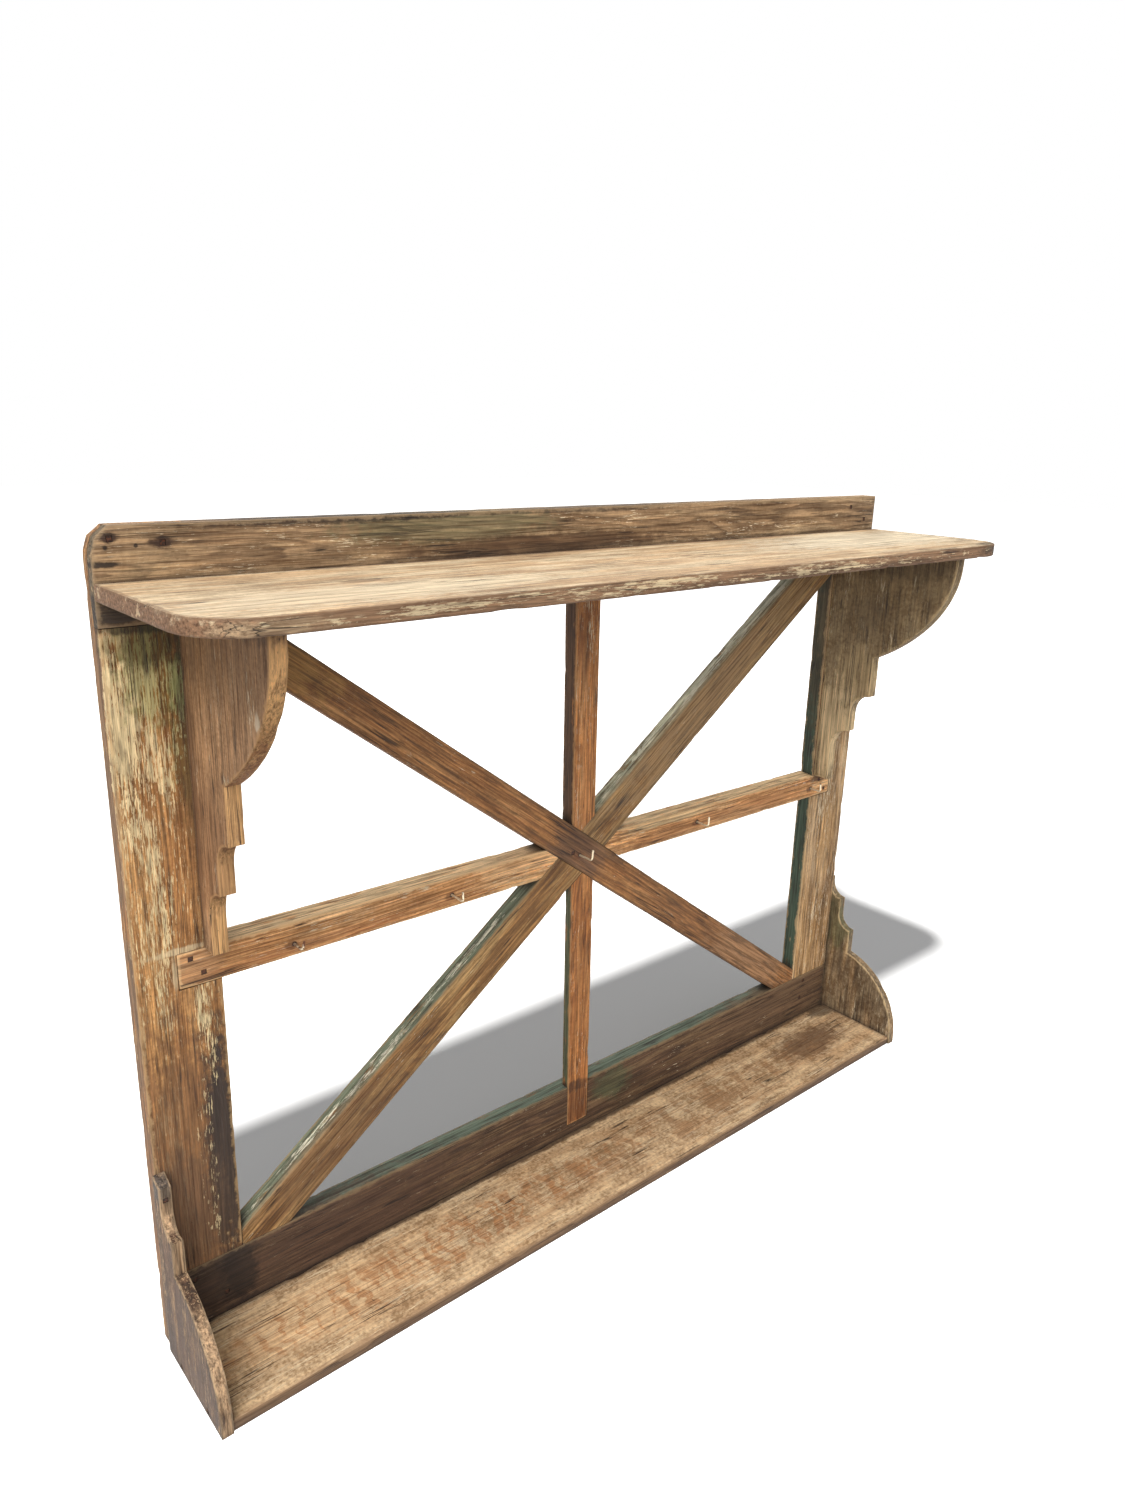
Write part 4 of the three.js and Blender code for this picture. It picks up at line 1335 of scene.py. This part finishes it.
def make_lights(floor):
    """Broad soft lights for the piece, and one lamp that throws its shadow on the floor."""
    only_floor = bpy.data.collections.new("only_floor")
    only_floor.objects.link(floor)
    all_but_floor = bpy.data.collections.new("all_but_floor")
    all_but_floor.objects.link(floor)
    all_but_floor.collection_objects[0].light_linking.link_state = "EXCLUDE"
    lamp("floor_lamp", at(*LAMP_AT), LAMP_POWER, LAMP_RADIUS, only_floor)
    for name, travel, strength, angle in SUNS:
        soft_sun(name, travel, strength, angle, all_but_floor)


def make_sky():
    """White behind the object; for lighting, a dimmer dome that is darker below the horizon."""
    world = bpy.data.worlds.new("studio")
    world.use_nodes = True
    tree = world.node_tree
    tree.nodes.clear()
    place = tree.nodes.new("ShaderNodeTexCoord")
    split = tree.nodes.new("ShaderNodeSeparateXYZ")
    tree.links.new(place.outputs["Generated"], split.inputs[0])
    height = tree.nodes.new("ShaderNodeMapRange")
    tree.links.new(split.outputs["Z"], height.inputs["Value"])
    for key, value in DOME.items():
        height.inputs[key].default_value = value
    dome = tree.nodes.new("ShaderNodeBackground")
    tree.links.new(height.outputs["Result"], dome.inputs["Strength"])
    white = tree.nodes.new("ShaderNodeBackground")
    white.inputs["Color"].default_value = WHITE
    path = tree.nodes.new("ShaderNodeLightPath")
    pick = tree.nodes.new("ShaderNodeMixShader")
    tree.links.new(path.outputs["Is Camera Ray"], pick.inputs[0])
    tree.links.new(dome.outputs[0], pick.inputs[1])
    tree.links.new(white.outputs[0], pick.inputs[2])
    out = tree.nodes.new("ShaderNodeOutputWorld")
    tree.links.new(pick.outputs[0], out.inputs["Surface"])
    bpy.context.scene.world = world


def floor_white():
    """A matt white that glows faintly near the object and is pure white further out."""
    g = Graph("floor_white")
    g.shader.inputs["Base Color"].default_value = FLOOR_TONE
    g.shader.inputs["Roughness"].default_value = 1.0
    g.shader.inputs["Specular IOR Level"].default_value = 0.0
    g.shader.inputs["Emission Color"].default_value = WHITE
    flat = g.vector("MULTIPLY", g.new("TexCoord").outputs["Object"], (1, 1, 0))
    glow = g.add(g.step(g.length(flat), WHITE_FROM, WHITE_TO), FLOOR_GLOW)
    g.put(g.shader.inputs["Emission Strength"], glow)
    return g.material


def make_floor():
    bm = bmesh.new()
    bmesh.ops.create_grid(bm, x_segments=1, y_segments=1, size=FLOOR_REACH)
    floor = finished_piece(bm, "floor")
    floor.location.z = -FLOOR_DROP
    floor.data.materials.append(floor_white())
    floor.visible_diffuse = False
    return floor


# ---------------------------------------------------------------- putting it together

SHARP_ANGLE = 35  # degrees

# Each board's shape and finish.
BOARDS = {
    "stile_left": (stile_left, stile_left_wood),
    "stile_right": (stile_right, stile_right_wood),
    "top_rail": (top_rail, top_rail_wood),
    "bottom_rail": (bottom_rail, bottom_rail_wood),
    "mid_rail": (mid_rail, mid_rail_wood),
    "diagonal_falling": (diagonal_falling, diagonal_falling_wood),
    "diagonal_rising": (diagonal_rising, diagonal_rising_wood),
    "upright_upper": (upright_upper, upright_upper_wood),
    "upright_lower": (upright_lower, upright_lower_wood),
    "upper_shelf": (upper_shelf, upper_shelf_wood),
    "tray_shelf": (tray_shelf, tray_shelf_wood),
    "bracket_left": (bracket_left, bracket_left_wood),
    "bracket_right": (bracket_right, bracket_right_wood),
    "cheek_left": (cheek_left, cheek_left_wood),
    "cheek_right": (cheek_right, cheek_right_wood),
}


def build_board(name):
    shape, finish = BOARDS[name]
    piece = shape(name)
    nails = nails_in(name)
    if nails:
        cut(piece, [nail_recess(nail) for nail in nails])
    piece.data.shade_smooth()
    piece.data.set_sharp_from_angle(angle=math.radians(SHARP_ANGLE))
    piece.data.materials.clear()
    piece.data.materials.append(finish())
    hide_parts(name)
    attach(piece, "root")


def build_hooks():
    for number, hook in enumerate(HOOKS, 1):
        node = f"hook_{number}"
        wire = hook_wire(node, hook)
        wire.data.materials.append(old_wire(f"hook_steel_{number}", hook["rust"]))
        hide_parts(node)
        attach(wire, "root")


def colour_nails():
    iron = rusty_iron()
    for nail in NAILS:
        for material_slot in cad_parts[nail].material_slots:
            material_slot.material = iron


bpy.context.scene.view_settings.view_transform = "Standard"
make_camera()
make_sky()
make_lights(make_floor())
for board in BOARDS:
    build_board(board)
build_hooks()
colour_nails()
